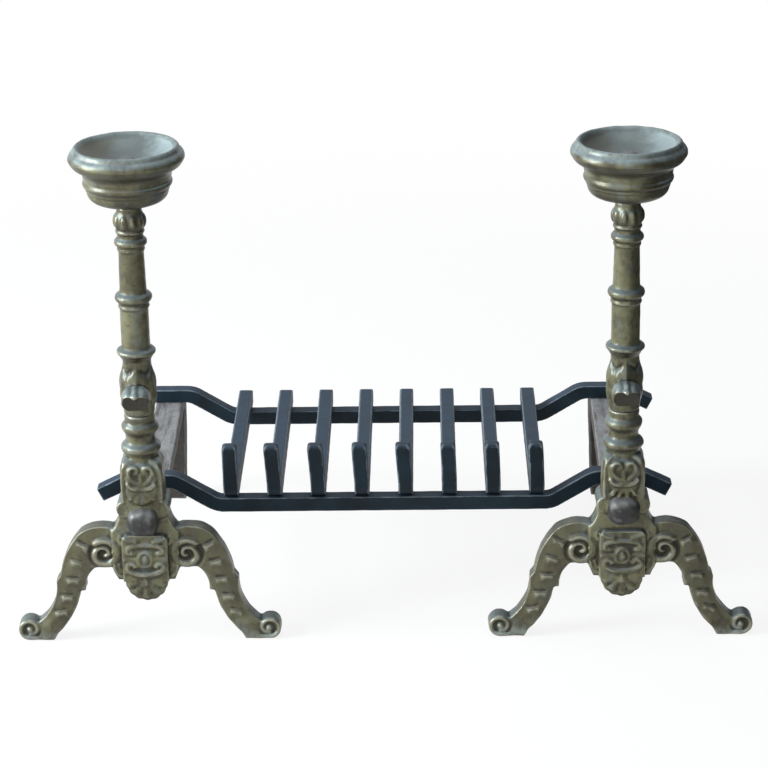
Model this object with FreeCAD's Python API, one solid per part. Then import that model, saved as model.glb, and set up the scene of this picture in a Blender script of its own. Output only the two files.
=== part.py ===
import FreeCAD
import Part
import math
import os

# A fireplace set: two cast andirons with cup tops, and the bent-bar grate that lies across their billet bars.
# Millimetres. X runs across the hearth, Y from front to back, Z up from the floor.
# The origin is on the floor, under the middle of the whole set.

# Main sizes of the set
AXIS_SPACING = 500.0        # from one andiron's upright axis to the other's
SET_HEIGHT = 543.0          # floor to the cups' rims; the upper shaft takes up what is left

# Legs of one andiron, measured out from the upright axis and up from the floor
LEG_SPREAD = 280.0          # toe tip to toe tip
LEG_THICK = 20.0            # front to back
TOE_RADIUS = 12.0           # scroll that ends each toe
TOE_CURL = 140.0            # degrees, where the shin runs into the toe scroll
TOE_LENGTH = 38.0           # toe tip to heel along the floor
HEEL_RISE = 8.0             # height of the rounded heel
HEEL_SET_BACK = 4.5         # the heel's top lies this far inside its floor edge
ANKLE_X = 96.5              # outer end of the small step below the knee
ANKLE_Z = 68.5
KNEE_X = 91.5               # inner end of that step
KNEE_Z = 75.0
HAUNCH_X = 69.0             # where the arched top turns down into the thigh
HAUNCH_Z = 123.5
ROOT_X = 30.0               # where the arched top meets the plinth
ROOT_Z = 126.0
ARCH_X = 54.0               # end of the level stretch under the volute
ARCH_Z = 84.5
CALF_X = 65.0               # inner step, upper end
CALF_Z = 57.5
CALF_STEP = 6.0             # width of the inner step
SHIN_HOLLOW = 7.0           # depth of the outer shin's hollow curve
CALF_SWELL = 4.5            # swell of the inner shin
THIGH_SWELL = 4.2           # swell of the outer thigh
THIGH_HOLLOW = 4.0          # hollow of the inner thigh
ARCH_SWELL = 6.2            # rise of the arched top

# Relief on the legs' front
VOLUTE_X = 44.0             # centre of the spiral
VOLUTE_Z = 101.0
VOLUTE_RADIUS = 16.5
VOLUTE_BAND = 4.2           # width of the spiral band
VOLUTE_STEP = 3.3           # the spiral tightens by this at each half turn
VOLUTE_HALF_TURNS = 3
VOLUTE_RELIEF = 3.5
VOLUTE_EYE = 4.0            # radius of the eye
ROOT_OVERLAP = 3.0          # the leg runs this far into the plinth
RUNG_WIDTH = 7.0            # ridged rungs across the leg
RUNG_RELIEF = 2.5
RUNG_MARGIN = 0.2           # share of the leg's width left plain at each end of a rung
THIGH_RUNGS = 3
SHIN_RUNGS = 3

# Plinth between the legs
PLINTH_WIDTH = 70.0
PLINTH_FRONT = 12.0         # front face, ahead of the axis
PLINTH_BACK = 14.0          # flat back face, behind the axis, where the billet bar seats
PLINTH_LOW_Z = 71.0
PLINTH_LOW_WIDTH = 60.0
PLINTH_CHEEK_Z = 83.0       # where the cheeks reach full width
PLINTH_SHOULDER_Z = 126.0
PLINTH_TOP_Z = 147.0
PLINTH_TOP_WIDTH = 51.0
SHOULDER_HOLLOW = 1.5
PANEL_WIDTH = 48.0
PANEL_TOP_Z = 124.0
PANEL_RELIEF = 5.5
PANEL_CORNER = 4.0          # hollow upper corners
PANEL_CORNER_HOLLOW = 1.0
SHELL_RADIUS = 21.5         # shell pendant under the panel, half its width
SHELL_DROP = 22.0           # its depth at the middle
SHELL_LOBES = 7
SHELL_LOBE_SWELL = 1.8
SHELL_RELIEF = 2.5          # front of the shell, ahead of the plinth's front
SHELL_THICK = 12.0

# Pedestal on the plinth
ROLL_RADIUS = 10.0          # side scrolls at the foot of the block
ROLL_X = 18.0
ROLL_RISE = 7.0             # centre of the scrolls above the plinth's top
ROLL_LENGTH = 36.0
BLOCK_WIDTH = 44.0
BLOCK_DEPTH = 38.0
BLOCK_HEIGHT = 63.5
BLOCK_CORNER = 5.0          # corner bevel seen from above
BLOCK_SHOULDER = 11.0       # rounding at the top
SHIELD_WIDTH = 31.0         # raised shield on the block's front
SHIELD_HEIGHT = 32.0
SHIELD_RELIEF = 2.0
SHIELD_GAP = 2.0            # foot of the shield above the nut's pad
SHIELD_CHEEK = 16.0         # height of its pointed foot
SHIELD_SWELL = 4.0
SHIELD_HOLLOW = 2.0         # hollow of its upper edge
COLLAR_DIA = 34.0           # short neck between the block and the first ring
COLLAR_LEN = 1.5
LOW_RING_DIA = 41.4
LOW_RING_LEN = 18.0
WAIST_DIA = 30.0
WAIST_LEN = 4.0
HIGH_RING_DIA = 38.4
HIGH_RING_LEN = 19.0
SEAT_DIA = 32.0             # flat seat for the column
SEAT_LEN = 4.0

# Column, from its seat upwards
LEAF_LEN = 60.0             # baluster that carries the leaves
LEAF_DIA = 38.4             # where the leaves swell most
LEAF_RISE = 26.0            # height of that place
LEAF_NECK_DIA = 31.0
RING_A_DIA = 40.2
RING_A_LEN = 15.0
LOW_SHAFT_DIA = 29.3
LOW_SHAFT_LEN = 40.0
RING_B_DIA = 38.3
RING_B_LEN = 21.0
TOP_SHAFT_LOW_DIA = 27.5
TOP_SHAFT_TOP_DIA = 25.7
RING_C_DIA = 34.0
RING_C_LEN = 16.0
GROOVE_DIA = 26.4           # groove over the top ring
GROOVE_LEN = 3.0
COLLET_DIA = 30.4           # small band under the knop
COLLET_LEN = 3.5
KNOP_DIA = 34.6             # gadrooned knop under the cup
KNOP_LEN = 19.5
NECK_DIA = 25.5
NECK_LEN = 5.0
RING_SLOPE = 5.0            # height of the sloping flank on each side of a ring's crest

# Spit rest on the column's front
SPIT_REST_RISE = 27.0       # centre above the column's seat
SPIT_REST_REACH = 42.0      # front of the boss, ahead of the axis
SPIT_REST_RADIUS = 15.0
SPIT_REST_STEM = 9.0
SPIT_REST_DEPTH = 24.0      # length of the swollen part
SPIT_REST_BROW = 12.0       # length of its rounded front
SPIT_REST_FACE_RADIUS = 11.0    # where the front turns flatter
SPIT_REST_FACE = 4.0        # length of that flatter front
SPIT_REST_NOSE = 4.0        # radius of its flat nose

# Cup
CUP_DIA = 117.5
CUP_MOUTH_DIA = 93.0
CUP_FOOT_DIA = 31.0
CUP_FOOT_LEN = 2.5
BOWL_DIA = 88.0
BOWL_LEN = 18.5
BOWL_BELLY_DIA = 64.0       # where the bowl turns from its underside to its side
BOWL_BELLY_RISE = 4.0
CUP_BEAD_LEN = 7.0
CUP_BEAD_DIA = 91.5
CAVETTO_LEN = 10.0
CAVETTO_DIA = 94.0
RIM_FLARE_LEN = 4.5         # flare under the rim
RIM_FLARE_DIA = 108.0
RIM_LEN = 20.5              # rim with a broad bevelled top
RIM_LOW_SLOPE = 7.5         # height of the rim's lower flank
RIM_TOP_SLOPE = 10.5        # height of its upper flank
RIM_TOP_DIA = 103.0
LIP_DROP = 2.5              # the lip falls this much inside the rim's top
DISH_FLOOR = 46.0           # thickness under the lowest point of the dish
DISH_WALL_DIA = 72.0        # the dish's sloping wall ends here
DISH_WALL_DROP = 7.5
DISH_BOWL_DIA = 40.0        # and its bowl turns flat here
DISH_BOWL_RISE = 2.0

# Tie rod through the column
ROD_DIA = 10.0
ROD_CLEARANCE = 0.25        # gap round the rod in the column and the cup
ROD_THREAD_LEN = 40.0       # length screwed into the pedestal
RIVET_DIA = 18.0            # riveted end on the dish's flat floor
RIVET_HEIGHT = 4.0

# Billet bar that runs back from each andiron
BILLET_TOP = 140.0          # the grate's arms rest at this height
BILLET_THICK = 18.0
BILLET_FRONT_WIDTH = 35.0
BILLET_REAR_WIDTH = 30.0
BILLET_REAR_OUTSET = 2.2    # the rear end lies this far outside the upright axis
BILLET_FOOT_WIDTH = 22.0    # the rear leg tapers to this at the floor
BILLET_REACH = 378.0        # back face of the rear leg, behind the axis
BILLET_BEND = 20.0          # bend radius at the middle of the bar
BOLT_HEIGHTS = {"left": 143.0, "right": 151.0}   # the bars' front ends and their nuts, as fitted by hand
JOGGLE_START = 12.0         # straight length before the joggle
JOGGLE_RUN = 26.0
TENON_DIA = 14.0
TENON_CAP = 4.0             # metal of the nut in front of the tenon's end

# Forged nut on the tenon, in front of the plinth
NUT_WIDTH = 33.0
NUT_HEIGHT = 31.0
NUT_THICK = 15.0
NUT_BEVEL = 7.0             # depth of the hammered bevels round its face
NUT_FACE_WIDTH = 21.0
NUT_FACE_HEIGHT = 18.0
BILLET_PLAY = 0.3           # gap round the bar where it is let into the pedestal's back
NUT_SEAT_DIA = 30.0         # flat pad on the casting behind the nut
NUT_SEAT_RELIEF = 8.0       # pad ahead of the plinth's front

# Grate
BAR = 16.0                  # square stock of bars and slats
ARM_DROP = 28.0             # the bars' middle hangs this far below the arms' crests
ARM_RUN = 45.8              # run of the sloping stretch
ARM_TAIL = 30.5             # run of the drooping end
ARM_TAIL_DROP = 15.0
BAR_BEND = 24.0             # bend radius at the middle of the bar
CREST_PLAY = 0.6            # side play of the billet bar under a crest
CUP_CLEARANCE = 10.5        # gap between the cup's rim and the front bar when the grate is lifted
REAR_BAR_SET_BACK = 52.0    # rear bar's middle, ahead of the billet bar's back face
SLAT_COUNT = 8
SLAT_MARGIN = 0.5           # from the end slats to the start of the bars' bends
SLAT_OVERHANG = 14.0        # past the rear bar
FINGER_HEIGHT = 46.0        # above the slat's top
FINGER_BEND = 10.0          # bend radius at the middle of the slat
FINGER_REACH = 7.0          # the finger stands this far ahead of the front bar
TIP_CHAMFER = 2.5
FINGER_LEANS = (0.5, 4.0, 4.0, 3.5, 4.0, 2.0, 2.0, 2.5)   # degrees to the left, as hand bent
WELD_LEG = 5.0              # fillet welds behind the bars, under the slats
WELD_INSET = 1.0            # welds stop this far inside the slat's sides

# Worked-out places
AXIS_X = AXIS_SPACING / 2
AXIS_Y = (CUP_DIA / 2 - BILLET_REACH) / 2
BLOCK_TOP_Z = PLINTH_TOP_Z + BLOCK_HEIGHT
SEAT_Z = BLOCK_TOP_Z + COLLAR_LEN + LOW_RING_LEN + WAIST_LEN + HIGH_RING_LEN + SEAT_LEN
CUP_Z = SET_HEIGHT - CUP_FOOT_LEN - BOWL_LEN - CUP_BEAD_LEN - CAVETTO_LEN - RIM_FLARE_LEN - RIM_LEN
KNOP_Z = CUP_Z - NECK_LEN - KNOP_LEN
RING_C_Z = KNOP_Z - COLLET_LEN - GROOVE_LEN - RING_C_LEN
DISH_Z = CUP_Z + DISH_FLOOR
FRONT_BAR_Y = CUP_DIA / 2 + CUP_CLEARANCE + BAR / 2
REAR_BAR_Y = BILLET_REACH - REAR_BAR_SET_BACK
NUT_SEAT_Y = -PLINTH_FRONT - NUT_SEAT_RELIEF
BAR_LOW_Z = BILLET_TOP - ARM_DROP
SLAT_Z = BAR_LOW_Z + BAR
ARM_BEND_TANGENT = BAR_BEND * math.tan(math.atan2(ARM_DROP, ARM_RUN) / 2)
CREST_HALF = BILLET_FRONT_WIDTH / 2 + CREST_PLAY + ARM_BEND_TANGENT
FLAT_HALF = AXIS_X - CREST_HALF - ARM_RUN
SLAT_SPAN = 2 * (FLAT_HALF - ARM_BEND_TANGENT - SLAT_MARGIN) - BAR
SLAT_PITCH = SLAT_SPAN / (SLAT_COUNT - 1)
REACH_THROUGH = 2.0         # cutting tools run past the faces by this
SAME_PLACE = 1e-6           # points nearer than this are one point


def front(a, b):
    """Point seen from the front: a across, b up."""
    return FreeCAD.Vector(a, 0, b)


def side(a, b):
    """Point seen from the side: a back, b up."""
    return FreeCAD.Vector(0, a, b)


def plan(a, b):
    """Point seen from above: a across, b back."""
    return FreeCAD.Vector(a, b, 0)


def edge(start, end, swell, view):
    """Line, or an arc that swells to the right of its travel by the given height."""
    ends = [view(*start), view(*end)]
    if abs(swell) < SAME_PLACE:
        return Part.makeLine(*ends)
    across = end[0] - start[0]
    along = end[1] - start[1]
    length = math.hypot(across, along)
    middle = view(
        (start[0] + end[0]) / 2 + along / length * swell,
        (start[1] + end[1]) / 2 - across / length * swell,
    )
    return Part.Arc(ends[0], middle, ends[1]).toShape()


def face(points, view):
    """Closed outline, counter-clockwise, of (a, b, swell of the edge that starts there)."""
    edges = []
    for number, point in enumerate(points):
        after = points[(number + 1) % len(points)]
        if math.dist(point[:2], after[:2]) > SAME_PLACE:
            edges.append(edge(point[:2], after[:2], point[2], view))
    return Part.Face(Part.Wire(edges))


def slab(points, view, start, thick):
    """Outline given a thickness, square to its view, from start onwards."""
    away = {front: FreeCAD.Vector(0, 1, 0), side: FreeCAD.Vector(1, 0, 0), plan: FreeCAD.Vector(0, 0, 1)}[view]
    solid = face(points, view).extrude(away * thick)
    solid.translate(away * start)
    return solid


def turned(points):
    """Turned solid from its half profile of (radius, height, swell)."""
    return face(points, front).revolve(FreeCAD.Vector(), FreeCAD.Vector(0, 0, 1), 360)


def strip(line, radius, thick):
    """Outline of a bar that follows a bent middle line, with one bend radius."""
    right = []
    left = []
    reach = thick / 2

    def offset(point, heading, amount):
        return (point[0] - heading[1] * amount, point[1] + heading[0] * amount)

    headings = []
    for here, there in zip(line, line[1:]):
        length = math.dist(here, there)
        headings.append(((there[0] - here[0]) / length, (there[1] - here[1]) / length))
    right.append(offset(line[0], headings[0], -reach) + (0,))
    left.append(offset(line[0], headings[0], reach) + (0,))
    for corner, before, after in zip(line[1:], headings, headings[1:]):
        turn = math.asin(before[0] * after[1] - before[1] * after[0])
        tangent = radius * math.tan(abs(turn) / 2)
        start = (corner[0] - before[0] * tangent, corner[1] - before[1] * tangent)
        end = (corner[0] + after[0] * tangent, corner[1] + after[1] * tangent)
        bulge = 1 - math.cos(turn / 2)
        way = math.copysign(1, turn)
        right.append(offset(start, before, -reach) + (way * (radius + way * reach) * bulge,))
        right.append(offset(end, after, -reach) + (0,))
        left.append(offset(start, before, reach) + (0,))
        left.append(offset(end, after, reach) + (-way * (radius - way * reach) * bulge,))
    right.append(offset(line[-1], headings[-1], -reach) + (0,))
    left.append(offset(line[-1], headings[-1], reach) + (0,))
    return right + left[::-1]


def bar_y(radius, start, end, x, z):
    """Round bar along Y."""
    base = FreeCAD.Vector(x, start, z)
    return Part.makeCylinder(radius, end - start, base, FreeCAD.Vector(0, 1, 0))


def bar_z(radius, start, end):
    """Round bar on the upright axis."""
    return Part.makeCylinder(radius, end - start, FreeCAD.Vector(0, 0, start))


def both_sides(shape):
    """A shape and its mirror image across the upright axis."""
    return shape.fuse(shape.mirror(FreeCAD.Vector(), FreeCAD.Vector(1, 0, 0)))


def ring(path, crest, length, neck):
    """Adds a ring to a half profile: up a slope to its crest, and down another to the next neck."""
    low = path[-1][1]
    path.append((crest / 2, low + RING_SLOPE, 0))
    path.append((crest / 2, low + length - RING_SLOPE, 0))
    path.append((neck / 2, low + length, 0))


def leg_runs():
    """The four long curves of one leg: inner thigh, inner shin, outer shin and outer thigh."""
    toe_x = LEG_SPREAD / 2 - TOE_RADIUS
    curl = math.radians(TOE_CURL)
    toe_top = (toe_x + TOE_RADIUS * math.cos(curl), TOE_RADIUS + TOE_RADIUS * math.sin(curl))
    heel = (LEG_SPREAD / 2 - TOE_LENGTH - HEEL_SET_BACK, HEEL_RISE)
    return {
        "inner_thigh": ((ARCH_X, ARCH_Z), (CALF_X, CALF_Z), -THIGH_HOLLOW),
        "inner_shin": ((CALF_X + CALF_STEP, CALF_Z), heel, CALF_SWELL),
        "outer_shin": (toe_top, (ANKLE_X, ANKLE_Z), -SHIN_HOLLOW),
        "outer_thigh": ((KNEE_X, KNEE_Z), (HAUNCH_X, HAUNCH_Z), THIGH_SWELL),
    }


def leg():
    """One leg of the right side, cut from plate thickness, without its relief."""
    runs = leg_runs()
    toe_x = LEG_SPREAD / 2 - TOE_RADIUS
    quarter = TOE_RADIUS * (1 - math.cos(math.pi / 4))
    rest = TOE_RADIUS * (1 - math.cos(math.radians(TOE_CURL) / 2))
    points = [(ROOT_X - ROOT_OVERLAP, ARCH_Z, 0)]
    for name in ("inner_thigh", "inner_shin"):
        start, end, swell = runs[name]
        points += [start + (swell,), end + (0,)]
    points += [
        (LEG_SPREAD / 2 - TOE_LENGTH, 0, 0),
        (toe_x, 0, quarter),
        (LEG_SPREAD / 2, TOE_RADIUS, rest),
    ]
    for name in ("outer_shin", "outer_thigh"):
        start, end, swell = runs[name]
        points += [start + (swell,), end + (0,)]
    points[-1] = (HAUNCH_X, HAUNCH_Z, ARCH_SWELL)
    points.append((ROOT_X - ROOT_OVERLAP, ROOT_Z, 0))
    return slab(points, front, -LEG_THICK / 2, LEG_THICK)


def volute():
    """Spiral band and eye on the leg's front, made of half turns that tighten by one step each."""
    outer = []
    inner = []
    centre = VOLUTE_X
    radius = VOLUTE_RADIUS
    way = -1
    for number in range(VOLUTE_HALF_TURNS):
        outer.append((centre - way * radius, VOLUTE_Z, radius))
        inner.append((centre - way * (radius - VOLUTE_BAND), VOLUTE_Z, VOLUTE_BAND - radius))
        centre = centre + way * VOLUTE_STEP
        radius = radius - VOLUTE_STEP
        way = -way
    last_x = centre - way * radius
    outer.append((last_x, VOLUTE_Z, 0))
    back = [(last_x + way * VOLUTE_BAND, VOLUTE_Z)] + [point[:2] for point in inner[::-1]]
    swells = [point[2] for point in inner[::-1]] + [0]
    points = outer + [point + (swell,) for point, swell in zip(back, swells)]
    top = -LEG_THICK / 2
    band = slab(points, front, top - VOLUTE_RELIEF, VOLUTE_RELIEF)
    eye = bar_y(VOLUTE_EYE, top - VOLUTE_RELIEF, top, centre, VOLUTE_Z)
    return band.fuse(eye)


def rungs(outer_name, inner_name, count):
    """Ridged rungs laid across the leg between two of its long curves."""
    runs = leg_runs()
    outer = edge(*runs[outer_name], front)
    inner = edge(*runs[inner_name], front)
    found = []
    for number in range(count):
        share = (number + 0.5) / count
        high = outer.valueAt(outer.FirstParameter + (1 - share) * (outer.LastParameter - outer.FirstParameter))
        low = inner.valueAt(inner.FirstParameter + share * (inner.LastParameter - inner.FirstParameter))
        across = high - low
        length = across.Length * (1 - 2 * RUNG_MARGIN)
        ridge = slab([(-RUNG_WIDTH / 2, 0, 0), (0, -RUNG_RELIEF, 0), (RUNG_WIDTH / 2, 0, 0)], plan, 0, length)
        ridge.rotate(FreeCAD.Vector(), FreeCAD.Vector(0, 1, 0), math.degrees(math.atan2(across.x, across.z)))
        ridge.translate(low + across * RUNG_MARGIN - FreeCAD.Vector(0, LEG_THICK / 2, 0))
        found.append(ridge)
    return found


def plinth(bolt_z):
    """Plinth with its raised panel and the pad for the nut."""
    low = PLINTH_LOW_WIDTH / 2
    wide = PLINTH_WIDTH / 2
    top = PLINTH_TOP_WIDTH / 2
    block = slab(
        [
            (-low, PLINTH_LOW_Z, 0),
            (low, PLINTH_LOW_Z, 0),
            (wide, PLINTH_CHEEK_Z, 0),
            (wide, PLINTH_SHOULDER_Z, -SHOULDER_HOLLOW),
            (top, PLINTH_TOP_Z, 0),
            (-top, PLINTH_TOP_Z, -SHOULDER_HOLLOW),
            (-wide, PLINTH_SHOULDER_Z, 0),
            (-wide, PLINTH_CHEEK_Z, 0),
        ],
        front, -PLINTH_FRONT, PLINTH_FRONT + PLINTH_BACK,
    )
    edge_x = PANEL_WIDTH / 2
    cut = PANEL_CORNER
    panel = slab(
        [
            (-edge_x, PLINTH_LOW_Z, 0),
            (edge_x, PLINTH_LOW_Z, 0),
            (edge_x, PANEL_TOP_Z - cut, -PANEL_CORNER_HOLLOW),
            (edge_x - cut, PANEL_TOP_Z, 0),
            (cut - edge_x, PANEL_TOP_Z, -PANEL_CORNER_HOLLOW),
            (-edge_x, PANEL_TOP_Z - cut, 0),
        ],
        front, -PLINTH_FRONT - PANEL_RELIEF, PANEL_RELIEF,
    )
    pad = bar_y(NUT_SEAT_DIA / 2, NUT_SEAT_Y, 0, 0, bolt_z)
    return block.fuse([panel, pad])


def shell():
    """Shell pendant under the panel: a fan of lobes."""
    points = []
    for number in range(SHELL_LOBES):
        angle = math.pi + math.pi * number / SHELL_LOBES
        points.append((SHELL_RADIUS * math.cos(angle), PLINTH_LOW_Z + SHELL_DROP * math.sin(angle), SHELL_LOBE_SWELL))
    points.append((SHELL_RADIUS, PLINTH_LOW_Z, 0))
    return slab(points, front, -PLINTH_FRONT - SHELL_RELIEF, SHELL_THICK)


def pedestal_block(bolt_z):
    """Block with rounded shoulders, side scrolls at its foot and a raised shield in front."""
    wide = BLOCK_WIDTH / 2
    deep = BLOCK_DEPTH / 2
    corner = BLOCK_CORNER
    upright = slab(
        [
            (corner - wide, -deep, 0),
            (wide - corner, -deep, 0),
            (wide, corner - deep, 0),
            (wide, deep - corner, 0),
            (wide - corner, deep, 0),
            (corner - wide, deep, 0),
            (-wide, deep - corner, 0),
            (-wide, corner - deep, 0),
        ],
        plan, PLINTH_TOP_Z, BLOCK_HEIGHT,
    )
    hood = BLOCK_SHOULDER
    round_hood = hood * (1 - math.cos(math.pi / 4))
    for view, reach in ((front, wide), (side, deep)):
        envelope = [
            (-reach, PLINTH_TOP_Z, 0),
            (reach, PLINTH_TOP_Z, 0),
            (reach, BLOCK_TOP_Z - hood, round_hood),
            (reach - hood, BLOCK_TOP_Z, 0),
            (hood - reach, BLOCK_TOP_Z, round_hood),
            (-reach, BLOCK_TOP_Z - hood, 0),
        ]
        upright = upright.common(slab(envelope, view, -BLOCK_WIDTH, 2 * BLOCK_WIDTH))
    roll = bar_y(ROLL_RADIUS, -ROLL_LENGTH / 2, ROLL_LENGTH / 2, ROLL_X, PLINTH_TOP_Z + ROLL_RISE)
    low = bolt_z + NUT_SEAT_DIA / 2 + SHIELD_GAP
    cheek = SHIELD_WIDTH / 2
    shield = slab(
        [
            (0, low, SHIELD_SWELL),
            (cheek, low + SHIELD_CHEEK, 0),
            (cheek, low + SHIELD_HEIGHT, -SHIELD_HOLLOW),
            (-cheek, low + SHIELD_HEIGHT, 0),
            (-cheek, low + SHIELD_CHEEK, SHIELD_SWELL),
        ],
        front, -deep - SHIELD_RELIEF, deep,
    )
    return upright.fuse([both_sides(roll), shield])


def pedestal_rings():
    """Two rings and the seat above the block."""
    path = [(0, BLOCK_TOP_Z - REACH_THROUGH, 0), (COLLAR_DIA / 2, BLOCK_TOP_Z - REACH_THROUGH, 0)]
    path.append((COLLAR_DIA / 2, BLOCK_TOP_Z + COLLAR_LEN, 0))
    ring(path, LOW_RING_DIA, LOW_RING_LEN, WAIST_DIA)
    path.append((WAIST_DIA / 2, path[-1][1] + WAIST_LEN, 0))
    ring(path, HIGH_RING_DIA, HIGH_RING_LEN, SEAT_DIA)
    path += [(SEAT_DIA / 2, SEAT_Z, 0), (0, SEAT_Z, 0)]
    return turned(path)


def base_casting(bolt_z):
    """Legs, plinth and pedestal in one casting, bored for the tie rod and the billet bar's tenon."""
    relief = [volute()]
    relief += rungs("outer_thigh", "inner_thigh", THIGH_RUNGS)
    relief += rungs("outer_shin", "inner_shin", SHIN_RUNGS)
    legs = both_sides(leg().fuse(relief))
    casting = legs.fuse([plinth(bolt_z), shell(), pedestal_block(bolt_z), pedestal_rings()])
    rod_hole = bar_z(ROD_DIA / 2, SEAT_Z - ROD_THREAD_LEN, SEAT_Z + REACH_THROUGH)
    tenon_hole = bar_y(TENON_DIA / 2, NUT_SEAT_Y - REACH_THROUGH, PLINTH_BACK + REACH_THROUGH, 0, bolt_z)
    notch_width = BILLET_FRONT_WIDTH + 2 * BILLET_PLAY
    notch_height = BILLET_THICK + 2 * BILLET_PLAY
    notch = Part.makeBox(
        notch_width, BLOCK_DEPTH, notch_height,
        FreeCAD.Vector(-notch_width / 2, PLINTH_BACK, bolt_z - notch_height / 2),
    )
    return casting.cut([rod_hole, tenon_hole, notch]).removeSplitter()


def spit_rest():
    """Boss on the column's front that carries a spit: a stem and a domed knob."""
    knob = turned([
        (0, 0, 0),
        (SPIT_REST_STEM, 0, 0),
        (SPIT_REST_STEM, SPIT_REST_REACH - SPIT_REST_DEPTH, 0),
        (SPIT_REST_RADIUS, SPIT_REST_REACH - SPIT_REST_BROW, 0),
        (SPIT_REST_FACE_RADIUS, SPIT_REST_REACH - SPIT_REST_FACE, 0),
        (SPIT_REST_NOSE, SPIT_REST_REACH, 0),
        (0, SPIT_REST_REACH, 0),
    ])
    knob.rotate(FreeCAD.Vector(), FreeCAD.Vector(1, 0, 0), 90)
    knob.translate(FreeCAD.Vector(0, 0, SEAT_Z + SPIT_REST_RISE))
    return knob


def column():
    """Leaf baluster, two shafts between rings, and the knop, bored for the tie rod."""
    path = [
        (0, SEAT_Z, 0),
        (SEAT_DIA / 2, SEAT_Z, 0),
        (LEAF_DIA / 2, SEAT_Z + LEAF_RISE, 0),
        (LEAF_NECK_DIA / 2, SEAT_Z + LEAF_LEN, 0),
    ]
    ring(path, RING_A_DIA, RING_A_LEN, LOW_SHAFT_DIA)
    path.append((LOW_SHAFT_DIA / 2, path[-1][1] + LOW_SHAFT_LEN, 0))
    ring(path, RING_B_DIA, RING_B_LEN, TOP_SHAFT_LOW_DIA)
    path.append((TOP_SHAFT_TOP_DIA / 2, RING_C_Z, 0))
    ring(path, RING_C_DIA, RING_C_LEN, GROOVE_DIA)
    path += [(COLLET_DIA / 2, KNOP_Z - COLLET_LEN, 0), (COLLET_DIA / 2, KNOP_Z, 0)]
    ring(path, KNOP_DIA, KNOP_LEN, NECK_DIA)
    path += [(NECK_DIA / 2, CUP_Z, 0), (0, CUP_Z, 0)]
    hole = bar_z(ROD_DIA / 2 + ROD_CLEARANCE, SEAT_Z - REACH_THROUGH, CUP_Z + REACH_THROUGH)
    return turned(path).fuse(spit_rest()).cut(hole).removeSplitter()


def cup():
    """Open cup: foot, swelling bowl, bead, neck, flared rim with a bevelled top, and a smooth dish."""
    foot = CUP_FOOT_DIA / 2
    hole = ROD_DIA / 2 + ROD_CLEARANCE
    bowl_z = CUP_Z + CUP_FOOT_LEN + BOWL_LEN
    bead_z = bowl_z + CUP_BEAD_LEN
    flare_z = bead_z + CAVETTO_LEN
    rim_z = flare_z + RIM_FLARE_LEN
    top_z = rim_z + RIM_LEN
    return turned([
        (hole, CUP_Z, 0),
        (foot, CUP_Z, 0),
        (foot, CUP_Z + CUP_FOOT_LEN, 0),
        (BOWL_BELLY_DIA / 2, CUP_Z + CUP_FOOT_LEN + BOWL_BELLY_RISE, 0),
        (BOWL_DIA / 2, bowl_z, 0),
        (CUP_BEAD_DIA / 2, (bowl_z + bead_z) / 2, 0),
        (BOWL_DIA / 2, bead_z, 0),
        (CAVETTO_DIA / 2, flare_z, 0),
        (RIM_FLARE_DIA / 2, rim_z, 0),
        (CUP_DIA / 2, rim_z + RIM_LOW_SLOPE, 0),
        (CUP_DIA / 2, top_z - RIM_TOP_SLOPE, 0),
        (RIM_TOP_DIA / 2, top_z, 0),
        (CUP_MOUTH_DIA / 2, top_z - LIP_DROP, 0),
        (DISH_WALL_DIA / 2, top_z - LIP_DROP - DISH_WALL_DROP, 0),
        (DISH_BOWL_DIA / 2, DISH_Z + DISH_BOWL_RISE, 0),
        (RIVET_DIA / 2, DISH_Z, 0),
        (hole, DISH_Z, 0),
    ])


def tie_rod():
    """Rod screwed into the pedestal and riveted over in the cup."""
    radius = ROD_DIA / 2
    rivet = RIVET_DIA / 2
    return turned([
        (0, SEAT_Z - ROD_THREAD_LEN, 0),
        (radius, SEAT_Z - ROD_THREAD_LEN, 0),
        (radius, DISH_Z, 0),
        (rivet, DISH_Z, 0),
        (radius, DISH_Z + RIVET_HEIGHT, 0),
        (0, DISH_Z + RIVET_HEIGHT, 0),
    ])


def billet_bar(bolt_z, way):
    """Flat bar with a round tenon in front, a joggle behind the plinth and a leg turned down at the rear."""
    middle_z = BILLET_TOP - BILLET_THICK / 2
    leg_y = BILLET_REACH - BILLET_THICK / 2
    joggle = PLINTH_BACK + JOGGLE_START
    line = [
        (PLINTH_BACK, bolt_z),
        (joggle, bolt_z),
        (joggle + JOGGLE_RUN, middle_z),
        (leg_y, middle_z),
        (leg_y, 0),
    ]
    outline = strip(line, BILLET_BEND, BILLET_THICK)
    wide = BILLET_FRONT_WIDTH / 2
    narrow = BILLET_REAR_WIDTH / 2
    foot = BILLET_FOOT_WIDTH / 2
    out = way * BILLET_REAR_OUTSET
    bar = slab(outline, side, -wide, BILLET_FRONT_WIDTH)
    leg_front = BILLET_REACH - BILLET_THICK
    leg_top = middle_z - BILLET_BEND
    taper = slab(
        [
            (-wide, PLINTH_BACK, 0),
            (wide, PLINTH_BACK, 0),
            (out + narrow, leg_front, 0),
            (out + narrow, BILLET_REACH, 0),
            (out - narrow, BILLET_REACH, 0),
            (out - narrow, leg_front, 0),
        ],
        plan, 0, bolt_z + BILLET_THICK,
    )
    wedge = slab(
        [(foot, 0, 0), (wide, 0, 0), (wide, leg_top, 0), (narrow, leg_top, 0)],
        front, leg_front - REACH_THROUGH, BILLET_THICK + 2 * REACH_THROUGH,
    )
    flanks = both_sides(wedge).translated(FreeCAD.Vector(out, 0, 0))
    tenon = bar_y(TENON_DIA / 2, NUT_SEAT_Y - NUT_THICK + TENON_CAP, PLINTH_BACK, 0, bolt_z)
    return bar.common(taper).cut(flanks).fuse(tenon).removeSplitter()


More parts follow.
